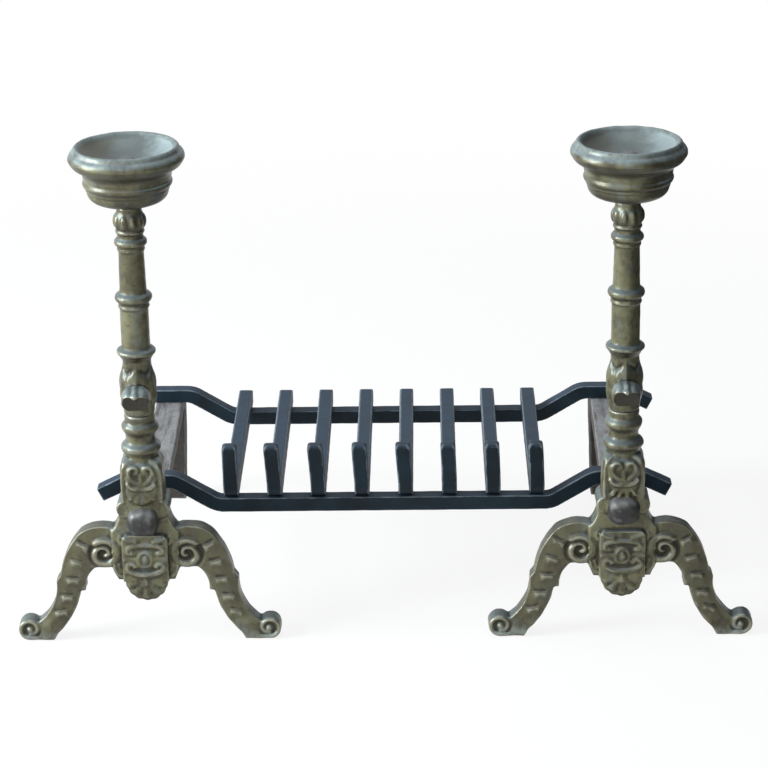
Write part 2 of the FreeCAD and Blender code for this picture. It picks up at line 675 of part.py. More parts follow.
def billet_nut(bolt_z):
    """Hand-forged nut with bevels hammered round its face, and a blind hole for the tenon."""
    nose = NUT_SEAT_Y - NUT_THICK
    nut = None
    for view, centre, base, flat in (
        (plan, 0, NUT_WIDTH / 2, NUT_FACE_WIDTH / 2),
        (side, bolt_z, NUT_HEIGHT / 2, NUT_FACE_HEIGHT / 2),
    ):
        outline = [
            (centre - flat, nose),
            (centre + flat, nose),
            (centre + base, nose + NUT_BEVEL),
            (centre + base, NUT_SEAT_Y),
            (centre - base, NUT_SEAT_Y),
            (centre - base, nose + NUT_BEVEL),
        ]
        if view is side:
            block = slab([(b, a, 0) for a, b in outline], side, -NUT_WIDTH, 2 * NUT_WIDTH)
        else:
            block = slab([(a, b, 0) for a, b in outline], plan, bolt_z - NUT_HEIGHT, 2 * NUT_HEIGHT)
        nut = block if nut is None else nut.common(block)
    return nut.cut(bar_y(TENON_DIA / 2, nose + TENON_CAP, NUT_SEAT_Y, 0, bolt_z))


def cross_bar(middle_y):
    """Square bar with a level middle, sloping arms, crests over the billet bars and drooping ends."""
    low = BAR_LOW_Z + BAR / 2
    high = BILLET_TOP + BAR / 2
    right = [
        (FLAT_HALF, low),
        (AXIS_X - CREST_HALF, high),
        (AXIS_X + CREST_HALF, high),
        (AXIS_X + CREST_HALF + ARM_TAIL, high - ARM_TAIL_DROP),
    ]
    left = [(-a, b) for a, b in right[::-1]]
    return slab(strip(left + right, BAR_BEND, BAR), front, middle_y - BAR / 2, BAR)


def square(x, y, z, width):
    """Level square outline about a point."""
    half = width / 2
    corners = [(x - half, y - half), (x + half, y - half), (x + half, y + half), (x - half, y + half)]
    points = [FreeCAD.Vector(a, b, z) for a, b in corners]
    return Part.makePolygon(points + points[:1])


def slat(x, lean):
    """Square slat that lies on both bars and bends up in front into a leaning, chamfered finger."""
    middle_z = SLAT_Z + BAR / 2
    finger_y = FRONT_BAR_Y - BAR / 2 - FINGER_REACH + BAR / 2
    bend_z = middle_z + FINGER_BEND
    tip_z = SLAT_Z + BAR + FINGER_HEIGHT
    line = [(REAR_BAR_Y + BAR / 2 + SLAT_OVERHANG, middle_z), (finger_y, middle_z), (finger_y, bend_z)]
    bed = slab(strip(line, FINGER_BEND, BAR), side, x - BAR / 2, BAR)
    slope = math.tan(math.radians(lean))
    neck_z = tip_z - TIP_CHAMFER
    sections = []
    for z, width in ((bend_z, BAR), (neck_z, BAR), (tip_z, BAR - 2 * TIP_CHAMFER)):
        sections.append(square(x - slope * (z - bend_z), finger_y, z, width))
    shank = Part.makeLoft(sections[:2], True, True)
    tip = Part.makeLoft(sections[1:], True, True)
    return bed.fuse([shank, tip]).removeSplitter()


def welds(bar_y_middle, slat_places):
    """Fillet welds in the corner behind a bar, under each slat."""
    corner_y = bar_y_middle + BAR / 2
    outline = [(corner_y, SLAT_Z - WELD_LEG, 0), (corner_y + WELD_LEG, SLAT_Z, 0), (corner_y, SLAT_Z, 0)]
    length = BAR - 2 * WELD_INSET
    beads = [slab(outline, side, x - length / 2, length) for x in slat_places]
    return Part.makeCompound(beads)


def save(shape, name):
    """Writes one piece of the set and prints whether its solid is sound."""
    shape.exportStep("parts/" + name + ".step")
    print(name, "valid" if shape.isValid() else "NOT VALID", len(shape.Solids), round(shape.Volume))


os.makedirs("parts", exist_ok=True)

for hand, way in (("left", -1), ("right", 1)):
    bolt_z = BOLT_HEIGHTS[hand]
    andiron = {
        "base_casting": base_casting(bolt_z),
        "column": column(),
        "cup": cup(),
        "tie_rod": tie_rod(),
        "billet_bar": billet_bar(bolt_z, way),
        "billet_nut": billet_nut(bolt_z),
    }
    for name, shape in andiron.items():
        save(shape.translated(FreeCAD.Vector(way * AXIS_X, AXIS_Y, 0)), hand + "_" + name)

slat_places = [(number - (SLAT_COUNT - 1) / 2) * SLAT_PITCH for number in range(SLAT_COUNT)]
grate = {
    "front_cross_bar": cross_bar(FRONT_BAR_Y),
    "rear_cross_bar": cross_bar(REAR_BAR_Y),
    "front_welds": welds(FRONT_BAR_Y, slat_places),
    "rear_welds": welds(REAR_BAR_Y, slat_places),
}
for number, x in enumerate(slat_places):
    grate["slat_" + str(number + 1)] = slat(x, FINGER_LEANS[number % len(FINGER_LEANS)])
for name, shape in grate.items():
    save(shape.translated(FreeCAD.Vector(0, AXIS_Y, 0)), name)
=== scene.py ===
import math

import bmesh
import bpy
import numpy as np
from mathutils import Matrix, Vector


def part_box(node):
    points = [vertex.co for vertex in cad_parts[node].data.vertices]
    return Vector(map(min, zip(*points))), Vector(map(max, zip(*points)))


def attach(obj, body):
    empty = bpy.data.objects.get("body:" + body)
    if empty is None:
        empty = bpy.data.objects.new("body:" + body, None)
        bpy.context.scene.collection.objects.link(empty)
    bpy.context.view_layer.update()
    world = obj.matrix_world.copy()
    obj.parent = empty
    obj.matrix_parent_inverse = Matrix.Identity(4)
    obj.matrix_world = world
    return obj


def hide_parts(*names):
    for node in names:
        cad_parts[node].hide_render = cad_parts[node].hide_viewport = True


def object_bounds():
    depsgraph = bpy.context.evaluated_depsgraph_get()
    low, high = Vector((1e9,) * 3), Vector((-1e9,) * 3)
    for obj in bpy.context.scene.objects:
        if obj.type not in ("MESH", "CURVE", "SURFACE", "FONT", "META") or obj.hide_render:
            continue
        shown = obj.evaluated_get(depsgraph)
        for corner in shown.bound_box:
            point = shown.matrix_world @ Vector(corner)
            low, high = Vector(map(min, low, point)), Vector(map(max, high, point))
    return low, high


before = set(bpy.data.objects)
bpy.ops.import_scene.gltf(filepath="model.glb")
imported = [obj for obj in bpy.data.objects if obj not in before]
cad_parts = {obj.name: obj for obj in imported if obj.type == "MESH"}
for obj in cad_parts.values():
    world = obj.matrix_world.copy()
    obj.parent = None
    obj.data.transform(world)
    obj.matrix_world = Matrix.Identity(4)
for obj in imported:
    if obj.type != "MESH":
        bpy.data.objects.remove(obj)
CAD_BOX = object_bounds()

bl_info = {
    "name": "Cup-topped andirons with a bar grate",
    "version": (1, 0, 0),
    "blender": (4, 5, 0),
    "location": "View3D > Sidebar > Andirons",
    "description": "Builds the looks of a pair of cast andirons and of the bar grate that lies between them",
    "category": "Object",
}

# Lengths of the andirons are in millimetres from the upright axis and the floor, and -Y is the front.
MM = 0.001
HANDS = ("left", "right")
SLATS = 8
BAR_PLACES = ("front", "rear")
TURN = 2 * math.pi
# Distance in metres within which points of a CAD mesh are merged, and swell in millimetres of a straight line
MERGE = 1e-6
STRAIGHT = 1e-6
# Crossing waves of unevenness: how many, the spread of their sizes, and what their sum is divided by
WAVES = 7
WAVE_SPREAD = (0.6, 1.6)
WAVE_TOTAL = 4
# Reach and depth in millimetres of what counts as a full edge or a full hollow
EDGE_NOTE = (4.8, 0.22)
HOLLOW_NOTE = (4.5, 0.8)
# Rounds of softening, depth and size in millimetres of the unevenness, and first seed of each kind of skin
SKINS = {
    "base": (6, 0.3, 14, 3), "column": (2, 0.12, 12, 11), "billet_bar": (4, 0.3, 30, 31),
    "billet_nut": (3, 0.5, 13, 41), "cross_bar": (2, 0.12, 26, 51), "slat": (2, 0.12, 22, 61),
    "weld": (2, 0.1, 4, 71),
}


def axis_of(hand):
    """Upright axis of one andiron, in metres."""
    low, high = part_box(hand + "_cup")
    return (low.x + high.x) / 2, (low.y + high.y) / 2


# Paths


def arc_points(start, end, swell, step=1.0):
    """Points of a line, or of an arc that swells to the right of its travel, without the last one."""
    start = np.array(start, float)
    end = np.array(end, float)
    chord = end - start
    length = math.hypot(*chord)
    if abs(swell) < STRAIGHT:
        count = max(1, round(length / step))
        return [tuple(start + chord * i / count) for i in range(count)]
    radius = (length * length / 4 + swell * swell) / (2 * abs(swell))
    half = 2 * math.atan2(2 * abs(swell), length)
    count = max(4, round(2 * half * radius / step))
    along = chord / length
    right = np.array((along[1], -along[0])) * math.copysign(1, swell)
    middle = (start + end) / 2 + right * (abs(swell) - radius)
    found = []
    for i in range(count):
        angle = -half + 2 * half * i / count
        found.append(tuple(middle + radius * (math.sin(angle) * along + math.cos(angle) * right)))
    return found


def drawn(points, step=1.0):
    """Path through points of (a, b, swell of the stretch that starts there)."""
    found = []
    for here, there in zip(points, points[1:]):
        found += arc_points(here[:2], there[:2], here[2], step)
    return found + [tuple(points[-1][:2])]


def softened(path, rounds):
    """Path with its corners rounded; its ends stay."""
    points = np.array(path, float)
    for _ in range(rounds):
        points[1:-1] = (points[:-2] + 2 * points[1:-1] + points[2:]) / 4
    return [tuple(p) for p in points]


def backwards(points):
    """The same path of (a, b, swell) from its end to its start."""
    swells = [-point[2] for point in points[:-1]]
    return [(*point[:2], swell) for point, swell in zip(points[::-1], swells[::-1] + [0])]


def flowing(points, steps=8):
    """Smooth path through a few points."""
    pts = [np.array(p, float) for p in points]
    found = []
    for i in range(len(pts) - 1):
        b, c = pts[i], pts[i + 1]
        a = pts[i - 1] if i else 2 * b - c
        d = pts[i + 2] if i + 2 < len(pts) else 2 * c - b
        for k in range(steps):
            t = k / steps
            found.append(tuple(0.5 * (2 * b + (c - a) * t + (2 * a - 5 * b + 4 * c - d) * t * t
                                      + (3 * b - a - 3 * c + d) * t ** 3)))
    return found + [tuple(pts[-1])]


def mirrored(path):
    return [(-x, z) for x, z in path]


# Meshes


def new_object(name, data):
    found = bpy.data.objects.new(name, data)
    bpy.context.scene.collection.objects.link(found)
    return found


def mesh_from(name, points, faces):
    """Closed mesh with its faces turned outwards."""
    mesh = bpy.data.meshes.new(name)
    mesh.from_pydata([tuple(p) for p in points], [], faces)
    work = bmesh.new()
    work.from_mesh(mesh)
    bmesh.ops.recalc_face_normals(work, faces=work.faces)
    work.to_mesh(mesh)
    work.free()
    return mesh


def turned(name, profile, segments):
    """Turned solid from (radius, height) points that start and end on the axis."""
    inner = profile[1:-1]
    points = [(0, 0, profile[0][1]), (0, 0, profile[-1][1])]
    for radius, height in inner:
        for k in range(segments):
            angle = TURN * k / segments
            points.append((radius * math.sin(angle), -radius * math.cos(angle), height))
    faces = []
    for i in range(len(inner) - 1):
        for k in range(segments):
            a = 2 + i * segments + k
            b = 2 + i * segments + (k + 1) % segments
            faces.append((a, b, b + segments, a + segments))
    last = 2 + (len(inner) - 1) * segments
    for k in range(segments):
        after = (k + 1) % segments
        faces.append((0, 2 + after, 2 + k))
        faces.append((1, last + k, last + after))
    return mesh_from(name, points, faces)


def blob(name, centre, radii, segments=28):
    """Ellipsoid."""
    rings = segments // 2
    profile = [(math.sin(math.pi * i / rings), -math.cos(math.pi * i / rings)) for i in range(rings + 1)]
    profile[0] = (0, -1)
    profile[-1] = (0, 1)
    mesh = turned(name, profile, segments)
    mesh.transform(Matrix.Translation(centre) @ Matrix.Diagonal((*radii, 1)))
    return mesh


def merged(node):
    """Work copy of a CAD node's mesh, in metres, with its doubled points merged."""
    work = bmesh.new()
    work.from_mesh(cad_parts[node].data)
    bmesh.ops.remove_doubles(work, verts=work.verts, dist=MERGE)
    return work


def finished(name, work):
    """Mesh of a work copy, which goes away."""
    mesh = bpy.data.meshes.new(name)
    work.to_mesh(mesh)
    work.free()
    return mesh


def cad_copy(node, cuts=()):
    """Copy of a CAD node's mesh, cut off and closed at planes of (point, outward direction)."""
    work = merged(node)
    for point, outward in cuts:
        geometry = work.verts[:] + work.edges[:] + work.faces[:]
        bmesh.ops.bisect_plane(work, geom=geometry, plane_co=point, plane_no=outward, clear_outer=True)
        bmesh.ops.holes_fill(work, edges=[e for e in work.edges if e.is_boundary], sides=0)
    return finished(node + "_copy", work)


def joined(name, meshes):
    work = bmesh.new()
    for mesh in meshes:
        work.from_mesh(mesh)
    return finished(name, work)


def evaluated(host):
    """Plain mesh of an object's evaluated modifiers; the object goes away."""
    mesh = bpy.data.meshes.new_from_object(host.evaluated_get(bpy.context.evaluated_depsgraph_get()))
    bpy.data.objects.remove(host)
    return mesh


class Skin:
    """A mesh's points and neighbours as arrays."""

    def __init__(self, mesh):
        self.mesh = mesh
        count = len(mesh.vertices)
        flat = np.zeros(count * 3)
        mesh.vertices.foreach_get("co", flat)
        self.points = flat.reshape(-1, 3)
        ends = np.zeros(len(mesh.edges) * 2, int)
        mesh.edges.foreach_get("vertices", ends)
        ends = ends.reshape(-1, 2)
        self.near = np.concatenate((ends[:, 0], ends[:, 1]))
        self.far = np.concatenate((ends[:, 1], ends[:, 0]))
        self.degree = np.maximum(np.bincount(self.near, minlength=count), 1)[:, None]

    def spread(self, values):
        """Mean of each point's neighbours."""
        count = len(self.points)
        columns = [np.bincount(self.near, values[self.far, k], count) for k in range(values.shape[1])]
        return np.stack(columns, 1) / self.degree

    def smoothed(self, rounds, share=0.6):
        points = self.points
        for _ in range(rounds):
            points = points + share * (self.spread(points) - points)
        return points

    def normals(self):
        flat = np.zeros(len(self.points) * 3)
        self.mesh.vertices.foreach_get("normal", flat)
        return flat.reshape(-1, 3)

    def place(self, points):
        """Moves the points, within the box of the CAD model."""
        self.points = np.clip(points, *CAD_BOX)
        self.mesh.vertices.foreach_set("co", self.points.ravel())
        self.mesh.update()

    def note(self, name, rounds, depth):
        """Keeps how far points lie under (plus) or over (minus) their surroundings, as share of a depth."""
        self.keep(name, ((self.smoothed(rounds) - self.points) * self.normals()).sum(1) / depth)

    def keep(self, name, values):
        """Keeps one number from -1 to 1 for each point, for the materials."""
        kept = self.mesh.attributes.get(name) or self.mesh.attributes.new(name, "FLOAT", "POINT")
        kept.data.foreach_set("value", np.clip(values, -1, 1).astype(np.float32))

    def kept(self, name):
        """The numbers that are kept under a name."""
        values = np.zeros(len(self.points), np.float32)
        self.mesh.attributes[name].data.foreach_get("value", values)
        return values


def rough(points, size, seed):
    """Soft unevenness from a few crossing waves, about -1 to 1; size is in millimetres."""
    draw = np.random.default_rng(seed)
    total = np.zeros(len(points))
    for _ in range(WAVES):
        heading = draw.normal(size=3)
        heading *= TURN / (size * MM) / np.linalg.norm(heading) * draw.uniform(*WAVE_SPREAD)
        total += np.sin(points @ heading + draw.uniform(0, TURN))
    return total / WAVE_TOTAL


def cast_skin(name, meshes, kind, number, step, carve=None):
    """One closed skin round overlapping meshes, carved and softened, with its hollows and edges noted."""
    rounds, depth, size, seed = SKINS[kind]
    host = new_object(name + "_raw", joined(name, meshes))
    change = host.modifiers.new("skin", "REMESH")
    change.mode = "VOXEL"
    change.voxel_size = step
    mesh = evaluated(host)
    mesh.name = name
    skin = Skin(mesh)
    if carve is not None:
        skin.place(carve(skin))
    skin.place(skin.smoothed(rounds))
    waves = rough(skin.points, size, seed + number)
    skin.place(skin.points + skin.normals() * (waves * (depth * MM))[:, None])
    finish_skin(skin, step)
    return mesh


def finish_skin(skin, step):
    """Notes fine edges and broad hollows, and shades smooth."""
    reach, depth = EDGE_NOTE
    skin.note("edge", max(2, round(reach * MM / step)), depth * MM)
    reach, depth = HOLLOW_NOTE
    skin.note("hollow", max(4, round((reach * MM / step) ** 2)), depth * MM)
    skin.mesh.shade_smooth()


def kept_piece(name, mesh, body, node, slot):
    """Finished piece at the origin that stands for one CAD node."""
    mesh.materials.clear()
    mesh.materials.append(finish_of(slot))
    piece = new_object(name, mesh)
    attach(piece, body)
    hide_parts(node)


def andiron_piece(hand, name, mesh, node, slot):
    kept_piece(hand + "_" + name, mesh, hand + "_andiron", hand + "_" + node, slot)


def grate_piece(name, mesh, node):
    kept_piece(name, mesh, "grate", node, "grate_black")


# Nodes


class Value:
    """A socket that adds Math nodes when it stands in an expression."""

    def __init__(self, nodes, socket):
        self.nodes = nodes
        self.socket = socket

    def _with(self, operation, first, second):
        return self.nodes.node("ShaderNodeMath", {"operation": operation}, {0: first, 1: second})

    def __add__(self, other):
        return self._with("ADD", self, other)

    def __sub__(self, other):
        return self._with("SUBTRACT", self, other)

    def __rsub__(self, other):
        return self._with("SUBTRACT", other, self)

    def __mul__(self, other):
        return self._with("MULTIPLY", self, other)

    def __truediv__(self, other):
        return self._with("DIVIDE", self, other)

    def __rtruediv__(self, other):
        return self._with("DIVIDE", other, self)

    def most(self, other):
        """The larger of two values."""
        return self._with("MAXIMUM", self, other)

    __radd__ = __add__
    __rmul__ = __mul__


class Nodes:
    """A node tree in the making."""

    def __init__(self, tree):
        self.tree = tree

    def node(self, kind, settings, sockets, out=0):
        """Adds a node: settings first, then the values or links of its sockets."""
        node = self.tree.nodes.new(kind)
        for key, value in settings.items():
            setattr(node, key, value)
        for key, value in sockets.items():
            if isinstance(value, Value):
                self.tree.links.new(value.socket, node.inputs[key])
            else:
                node.inputs[key].default_value = value
        return Value(self, node.outputs[out]) if node.outputs else None


class Tree(Nodes):
    """A Geometry Nodes tree with named inputs."""

    def __init__(self, name, inputs):
        super().__init__(bpy.data.node_groups.new(name, "GeometryNodeTree"))
        sides = self.tree.interface
        for side in ("INPUT", "OUTPUT"):
            sides.new_socket("Geometry", in_out=side, socket_type="NodeSocketGeometry")
        for title, kind, default in inputs + [("Material", "NodeSocketMaterial", None)]:
            socket = sides.new_socket(title, in_out="INPUT", socket_type=kind)
            if default is not None:
                socket.default_value = default
        self.source = self.tree.nodes.new("NodeGroupInput")

    def given(self, title):
        """The value of a named input."""
        return Value(self, self.source.outputs[title])

    def end(self, geometry):
        """Closes the tree with real geometry and its material."""
        real = self.node("GeometryNodeRealizeInstances", {}, {"Geometry": geometry})
        material = self.given("Material")
        done = self.node("GeometryNodeSetMaterial", {}, {"Geometry": real, "Material": material})
        self.node("NodeGroupOutput", {}, {"Geometry": done})
        return self

    def grown(self, mesh, values):
        """Runs the tree on a mesh and returns the result as a plain mesh."""
        host = new_object(self.tree.name + "_host", mesh)
        change = host.modifiers.new("grow", "NODES")
        change.node_group = self.tree
        for item in self.tree.interface.items_tree:
            if item.in_out == "INPUT" and item.name in values:
                change[item.identifier] = values[item.name]
        return evaluated(host)


def band_tree():
    """Round bands that follow the edges of a mesh; the attribute swell gives each point's half width."""
    tree = Tree("raised_bands", [("Fullness", "NodeSocketFloat", 1.0), ("Step", "NodeSocketFloat", 0.001)])
    path = tree.node("GeometryNodeMeshToCurve", {}, {"Mesh": tree.given("Geometry")})
    even = tree.node("GeometryNodeResampleCurve", {"mode": "LENGTH"},
                     {"Curve": path, "Length": tree.given("Step")})
    swell = tree.node("GeometryNodeInputNamedAttribute", {"data_type": "FLOAT"}, {"Name": "swell"})
    section = tree.node("GeometryNodeCurvePrimitiveCircle", {}, {"Resolution": 12, "Radius": 1.0})
    width = swell * tree.given("Fullness")
    return tree.end(tree.node("GeometryNodeCurveToMesh", {}, {
        "Curve": even, "Profile Curve": section, "Scale": width, "Fill Caps": True}))


def ring_tree():
    """One leaf or lobe repeated round the upright axis."""
    tree = Tree("ring_of_leaves", [("Count", "NodeSocketInt", 4), ("Start", "NodeSocketFloat", 0.0)])
    places = tree.node("GeometryNodeMeshLine", {}, {"Count": tree.given("Count"), "Offset": (0, 0, 0)})
    share = tree.node("GeometryNodeInputIndex", {}, {}) / tree.given("Count")
    spin = tree.node("ShaderNodeCombineXYZ", {}, {"Z": share * TURN + tree.given("Start")})
    return tree.end(tree.node("GeometryNodeInstanceOnPoints", {}, {
        "Points": places, "Instance": tree.given("Geometry"), "Rotation": spin}))


def bead_tree():
    """Overlapping rounds of weld metal along each edge of a mesh."""
    tree = Tree("weld_beads", [("Bead", "NodeSocketFloat", 0.0024), ("Pitch", "NodeSocketFloat", 0.0019)])
    path = tree.node("GeometryNodeMeshToCurve", {}, {"Mesh": tree.given("Geometry")})
    points = tree.node("GeometryNodeCurveToPoints", {"mode": "LENGTH"},
                       {"Curve": path, "Length": tree.given("Pitch")})
    bead = tree.node("GeometryNodeMeshIcoSphere", {}, {"Radius": tree.given("Bead"), "Subdivisions": 2})
    return tree.end(tree.node("GeometryNodeInstanceOnPoints", {}, {"Points": points, "Instance": bead}))


# Finishes

NOISE_MIDDLE = 0.5


def around(noise, amount):
    """Noise that goes to both sides of 0 by half an amount."""
    return (noise - NOISE_MIDDLE) * amount


class Finish(Nodes):
    """The nodes of a material or of the world."""

    def __init__(self, holder):
        holder.use_nodes = True
        super().__init__(holder.node_tree)
        self.holder = holder
        self.tree.nodes.clear()

    def place(self, kind="Object"):
        return self.node("ShaderNodeTexCoord", {}, {}, kind)

    def noise(self, size, detail=4.0, roughness=0.55, stretch=(1, 1, 1)):
        """Noise with blotches of about a size in millimetres."""
        scale = tuple(1 / (size * MM) / s for s in stretch)
        place = self.node("ShaderNodeMapping", {}, {"Vector": self.place(), "Scale": scale})
        return self.node("ShaderNodeTexNoise", {},
                         {"Vector": place, "Scale": 1.0, "Detail": detail, "Roughness": roughness})

    def noted(self, name):
        return self.node("ShaderNodeAttribute", {"attribute_name": name}, {}, "Fac")

    def upward(self):
        """How far the surface faces up, from -1 to 1."""
        normal = self.node("ShaderNodeNewGeometry", {}, {}, "Normal")
        return self.node("ShaderNodeSeparateXYZ", {}, {"Vector": normal}, "Z")

    def between(self, value, low, high):
        """Soft step from 0 at low to 1 at high."""
        return self.node("ShaderNodeMapRange", {"interpolation_type": "SMOOTHSTEP"},
                         {"Value": value, "From Min": low, "From Max": high})

    def mix(self, factor, first, second):
        colours = {0: factor}
        for key, value in ((6, first), (7, second)):
            colours[key] = value if isinstance(value, Value) else (*value, 1.0)
        return self.node("ShaderNodeMix", {"data_type": "RGBA"}, colours, 2)

    def layered(self, tone, *layers):
        """Colour with layers of (mask, share, colour) laid over it in turn."""
        for mask, share, paint in layers:
            tone = self.mix(mask * share, tone, paint)
        return tone

    def bump(self, height, strength, distance):
        return self.node("ShaderNodeBump", {},
                         {"Height": height, "Strength": strength, "Distance": distance * MM})

    def done(self, sockets):
        shader = self.node("ShaderNodeBsdfPrincipled", {}, sockets)
        self.node("ShaderNodeOutputMaterial", {}, {"Surface": shader})
        return self.holder

    def seen_directly(self):
        """1 for rays from the camera, and for mirrored and refracted ones."""
        kinds = ("Is Camera Ray", "Is Glossy Ray", "Is Transmission Ray")
        camera, mirrored_ray, refracted = (self.node("ShaderNodeLightPath", {}, {}, kind) for kind in kinds)
        return camera.most(mirrored_ray).most(refracted)

    def mixed(self, factor, first, second):
        """Two shaders mixed by a factor."""
        return self.node("ShaderNodeMixShader", {}, {0: factor, 1: first, 2: second})


def aged_bronze(look):
    """Old bronze: olive and brown; blue-grey on what faces up, partly a dusty film and partly a painted sky
    reflection; dark hollows, partly dirt and partly painted shade; painted shade on what faces down; a pale
    film that also stands for painted light and reflection on the cups and the spit rest; and worn bright
    edges.
    """
    finish = Finish(bpy.data.materials.new("aged_bronze_finish"))
    patches = finish.noise(30, 5, 0.6)
    smears = finish.noise(14, 5, 0.6, (1, 1, 2.5))
    speckle = finish.noise(4.5, 6, 0.7)
    grain = finish.noise(1.3, 3)
    # The noted number lifts a pale colour and lowers a brown one: a real pale film on the feet and browner
    # legs, but painted light and painted shade on the dish, the cup rims and the spit rest.
    patina = finish.noted("patina") + around(speckle, 0.6) + around(smears, 0.7)
    pale_film_and_light = finish.between(patina, 0.25, 0.95)
    stain_and_shade = finish.between(patina, -0.15, -0.8)
    # Dark in hollows and creases: partly dirt, partly painted shade where light does not reach.
    hollow_dirt_and_shade = finish.between(finish.noted("hollow") + around(speckle, 0.6), 0.17, 0.66)
    worn = finish.between(around(speckle, 1.5) - finish.noted("edge"), 0.4, 1.05)
    # Blue-grey on what faces up: partly a dusty film, partly a painted sky reflection on the lit tops.
    dust_and_painted_sheen = finish.between(finish.upward() + around(patches, 0.6) + around(speckle, 0.3), 0.12, 0.75)
    # Darker on what faces down: painted shade under things.
    under = finish.between(finish.upward() + around(patches, 0.4), -0.05, -0.65)
    tone = finish.layered(
        finish.mix(finish.between(patches, 0.36, 0.62), look.bronze_brown_and_shade, look.bronze_olive),
        (finish.between(smears, 0.52, 0.68), 0.4, look.bronze_bloom_and_sheen),
        (finish.between(smears, 0.46, 0.3), 0.55, look.bronze_dirt_and_shade),
        (finish.between(speckle, 0.53, 0.68), 0.6, look.bronze_dirt_and_shade),
        (dust_and_painted_sheen, 0.75, look.bronze_bloom_and_sheen),
        (stain_and_shade, 0.6, look.bronze_brown_and_shade),
        (pale_film_and_light, 0.75, look.bronze_chalk_and_highlight),
        (worn, 0.5, look.bronze_worn),
        (hollow_dirt_and_shade, 0.85, look.bronze_dirt_and_shade),
        (under, 0.75, look.bronze_dirt_and_shade))
    return finish.done({
        "Base Color": tone,
        "Roughness": 0.24 + patches * 0.08 + speckle * 0.14 + hollow_dirt_and_shade * 0.25 + dust_and_painted_sheen * 0.08 + pale_film_and_light * 0.2,
        "Metallic": 0.30 + worn * 0.25 - hollow_dirt_and_shade * 0.2,
        "Specular IOR Level": 0.4,
        "Normal": finish.bump(speckle * 0.6 + grain * 0.15 + smears * 0.25, 0.5, 0.6),
    })


def billet_iron(look):
    """Forged iron: dull grey scale with brown rust and streaks along the bar, and grey tops that are partly
    dusty and partly painted light.
    """
    finish = Finish(bpy.data.materials.new("billet_iron_finish"))
    streak = finish.noise(7, 5, 0.6, (1, 9, 1))
    scale = finish.noise(3.2, 6, 0.7)
    rust = finish.noise(22, 5, 0.6)
    tone = finish.layered(
        finish.mix(finish.between(rust, 0.4, 0.62), look.iron_dark, look.iron_rust),
        # Grey on what faces up: partly dusty, partly painted light on the lit tops.
        (finish.between(finish.upward() + around(rust, 0.4), 0.3, 0.9), 0.85, look.iron_rubbed_and_lit_grey),
        (finish.between(rust, 0.5, 0.64), 0.3, look.iron_rust),
        (finish.between(streak, 0.46, 0.66), 0.6, look.iron_rust),
        (finish.between(scale, 0.5, 0.7), 0.5, look.iron_dark),
        (finish.between(around(scale, 0.6) - finish.noted("edge"), 0.25, 0.9), 0.4, look.iron_rubbed_and_lit_grey))
    return finish.done({
        "Base Color": tone,
        "Roughness": 0.52 + scale * 0.2 + streak * 0.1,
        "Metallic": 0.3,
        "Normal": finish.bump(scale * 0.6 + streak * 0.4, 0.5, 0.6),
    })


def nut_iron(look):
    """Hammered dark iron."""
    finish = Finish(bpy.data.materials.new("nut_iron_finish"))
    dents = finish.noise(6.5, 3, 0.5)
    scale = finish.noise(1.8, 5, 0.7)
    tone = finish.layered(
        finish.mix(finish.between(dents, 0.35, 0.7), look.nut_dark, look.iron_dark),
        # Grey on what faces up: painted light on the nut's top facets.
        (finish.between(finish.upward() + around(dents, 0.5), 0.2, 0.8), 0.4, look.iron_rubbed_and_lit_grey),
        (finish.between(around(dents, 0.7) - finish.noted("edge"), 0.2, 0.8), 0.25, look.iron_rubbed_and_lit_grey))
    return finish.done({
        "Base Color": tone,
        "Roughness": 0.40 + scale * 0.2,
        "Metallic": 0.3,
        "Normal": finish.bump(dents * 0.6 + scale * 0.4, 0.5, 0.8),
    })


def grate_black(look):
    """Blue-black satin paint over forged bar, worn slate-blue along its edges, with slate on its tops that is
    partly dusty and partly a painted sky reflection.
    """
    finish = Finish(bpy.data.materials.new("grate_black_finish"))
    hammer = finish.noise(11, 3, 0.5)
    patches = finish.noise(40, 4)
    grain = finish.noise(1.5, 4, 0.65)
    worn = finish.between(around(hammer, 0.8) + around(grain, 0.4) - finish.noted("edge"), 0.5, 1.15)
    # Slate on what faces up: partly dusty, partly a painted sky reflection on the tops.
    slate_dust_and_sheen = finish.between(finish.upward() + around(patches, 0.5), 0.3, 1.0)
    tone = finish.layered(
        finish.mix(finish.between(patches, 0.35, 0.65), look.grate_black, look.grate_blue),
        (slate_dust_and_sheen, 0.5, look.grate_slate_dust_and_sheen),
        (worn, 0.7, look.grate_worn))
    return finish.done({
        "Base Color": tone,
        "Roughness": 0.42 + hammer * 0.14 + grain * 0.1 + slate_dust_and_sheen * 0.06,
        "Metallic": worn * 0.3,
        "Specular IOR Level": 0.18,
        "Normal": finish.bump(hammer * 0.75 + grain * 0.25, 0.28, 0.6),
    })


FINISHES = {
    "aged_bronze": aged_bronze, "billet_iron": billet_iron, "nut_iron": nut_iron, "grate_black": grate_black,
}


def finish_of(slot):
    """The procedural material of a slot, made once."""
    known = bpy.data.materials.get(slot + "_finish")
    return known or FINISHES[slot](bpy.context.scene.andiron_finishes)


# Relief of the base casting, for its right side, as seen from the front

LEG_FRONT = -10.0
LEG_ROOT = 35.5
LEG_INNER = [(27, 84.5, 0), (54, 84.5, -4.0), (65, 57.5, 0), (71, 57.5, 4.5), (97.5, 8, 0)]
LEG_TOE = [(102, 0, 0), (128, 0, 3.515), (140, 12, 7.896)]
LEG_OUTER = [(27, 126, -6.2), (69, 123.5, -4.2), (91.5, 75, 0), (96.5, 68.5, 7.0), (118.8, 19.7, 0)]
LEG_PROFILE = LEG_INNER + LEG_TOE + backwards(LEG_OUTER) + LEG_INNER[:1]
# Layer of a leg's front that is carved, and how far it faces forward
CARVED_LAYER = 1.5
CARVED_FACING = -0.5
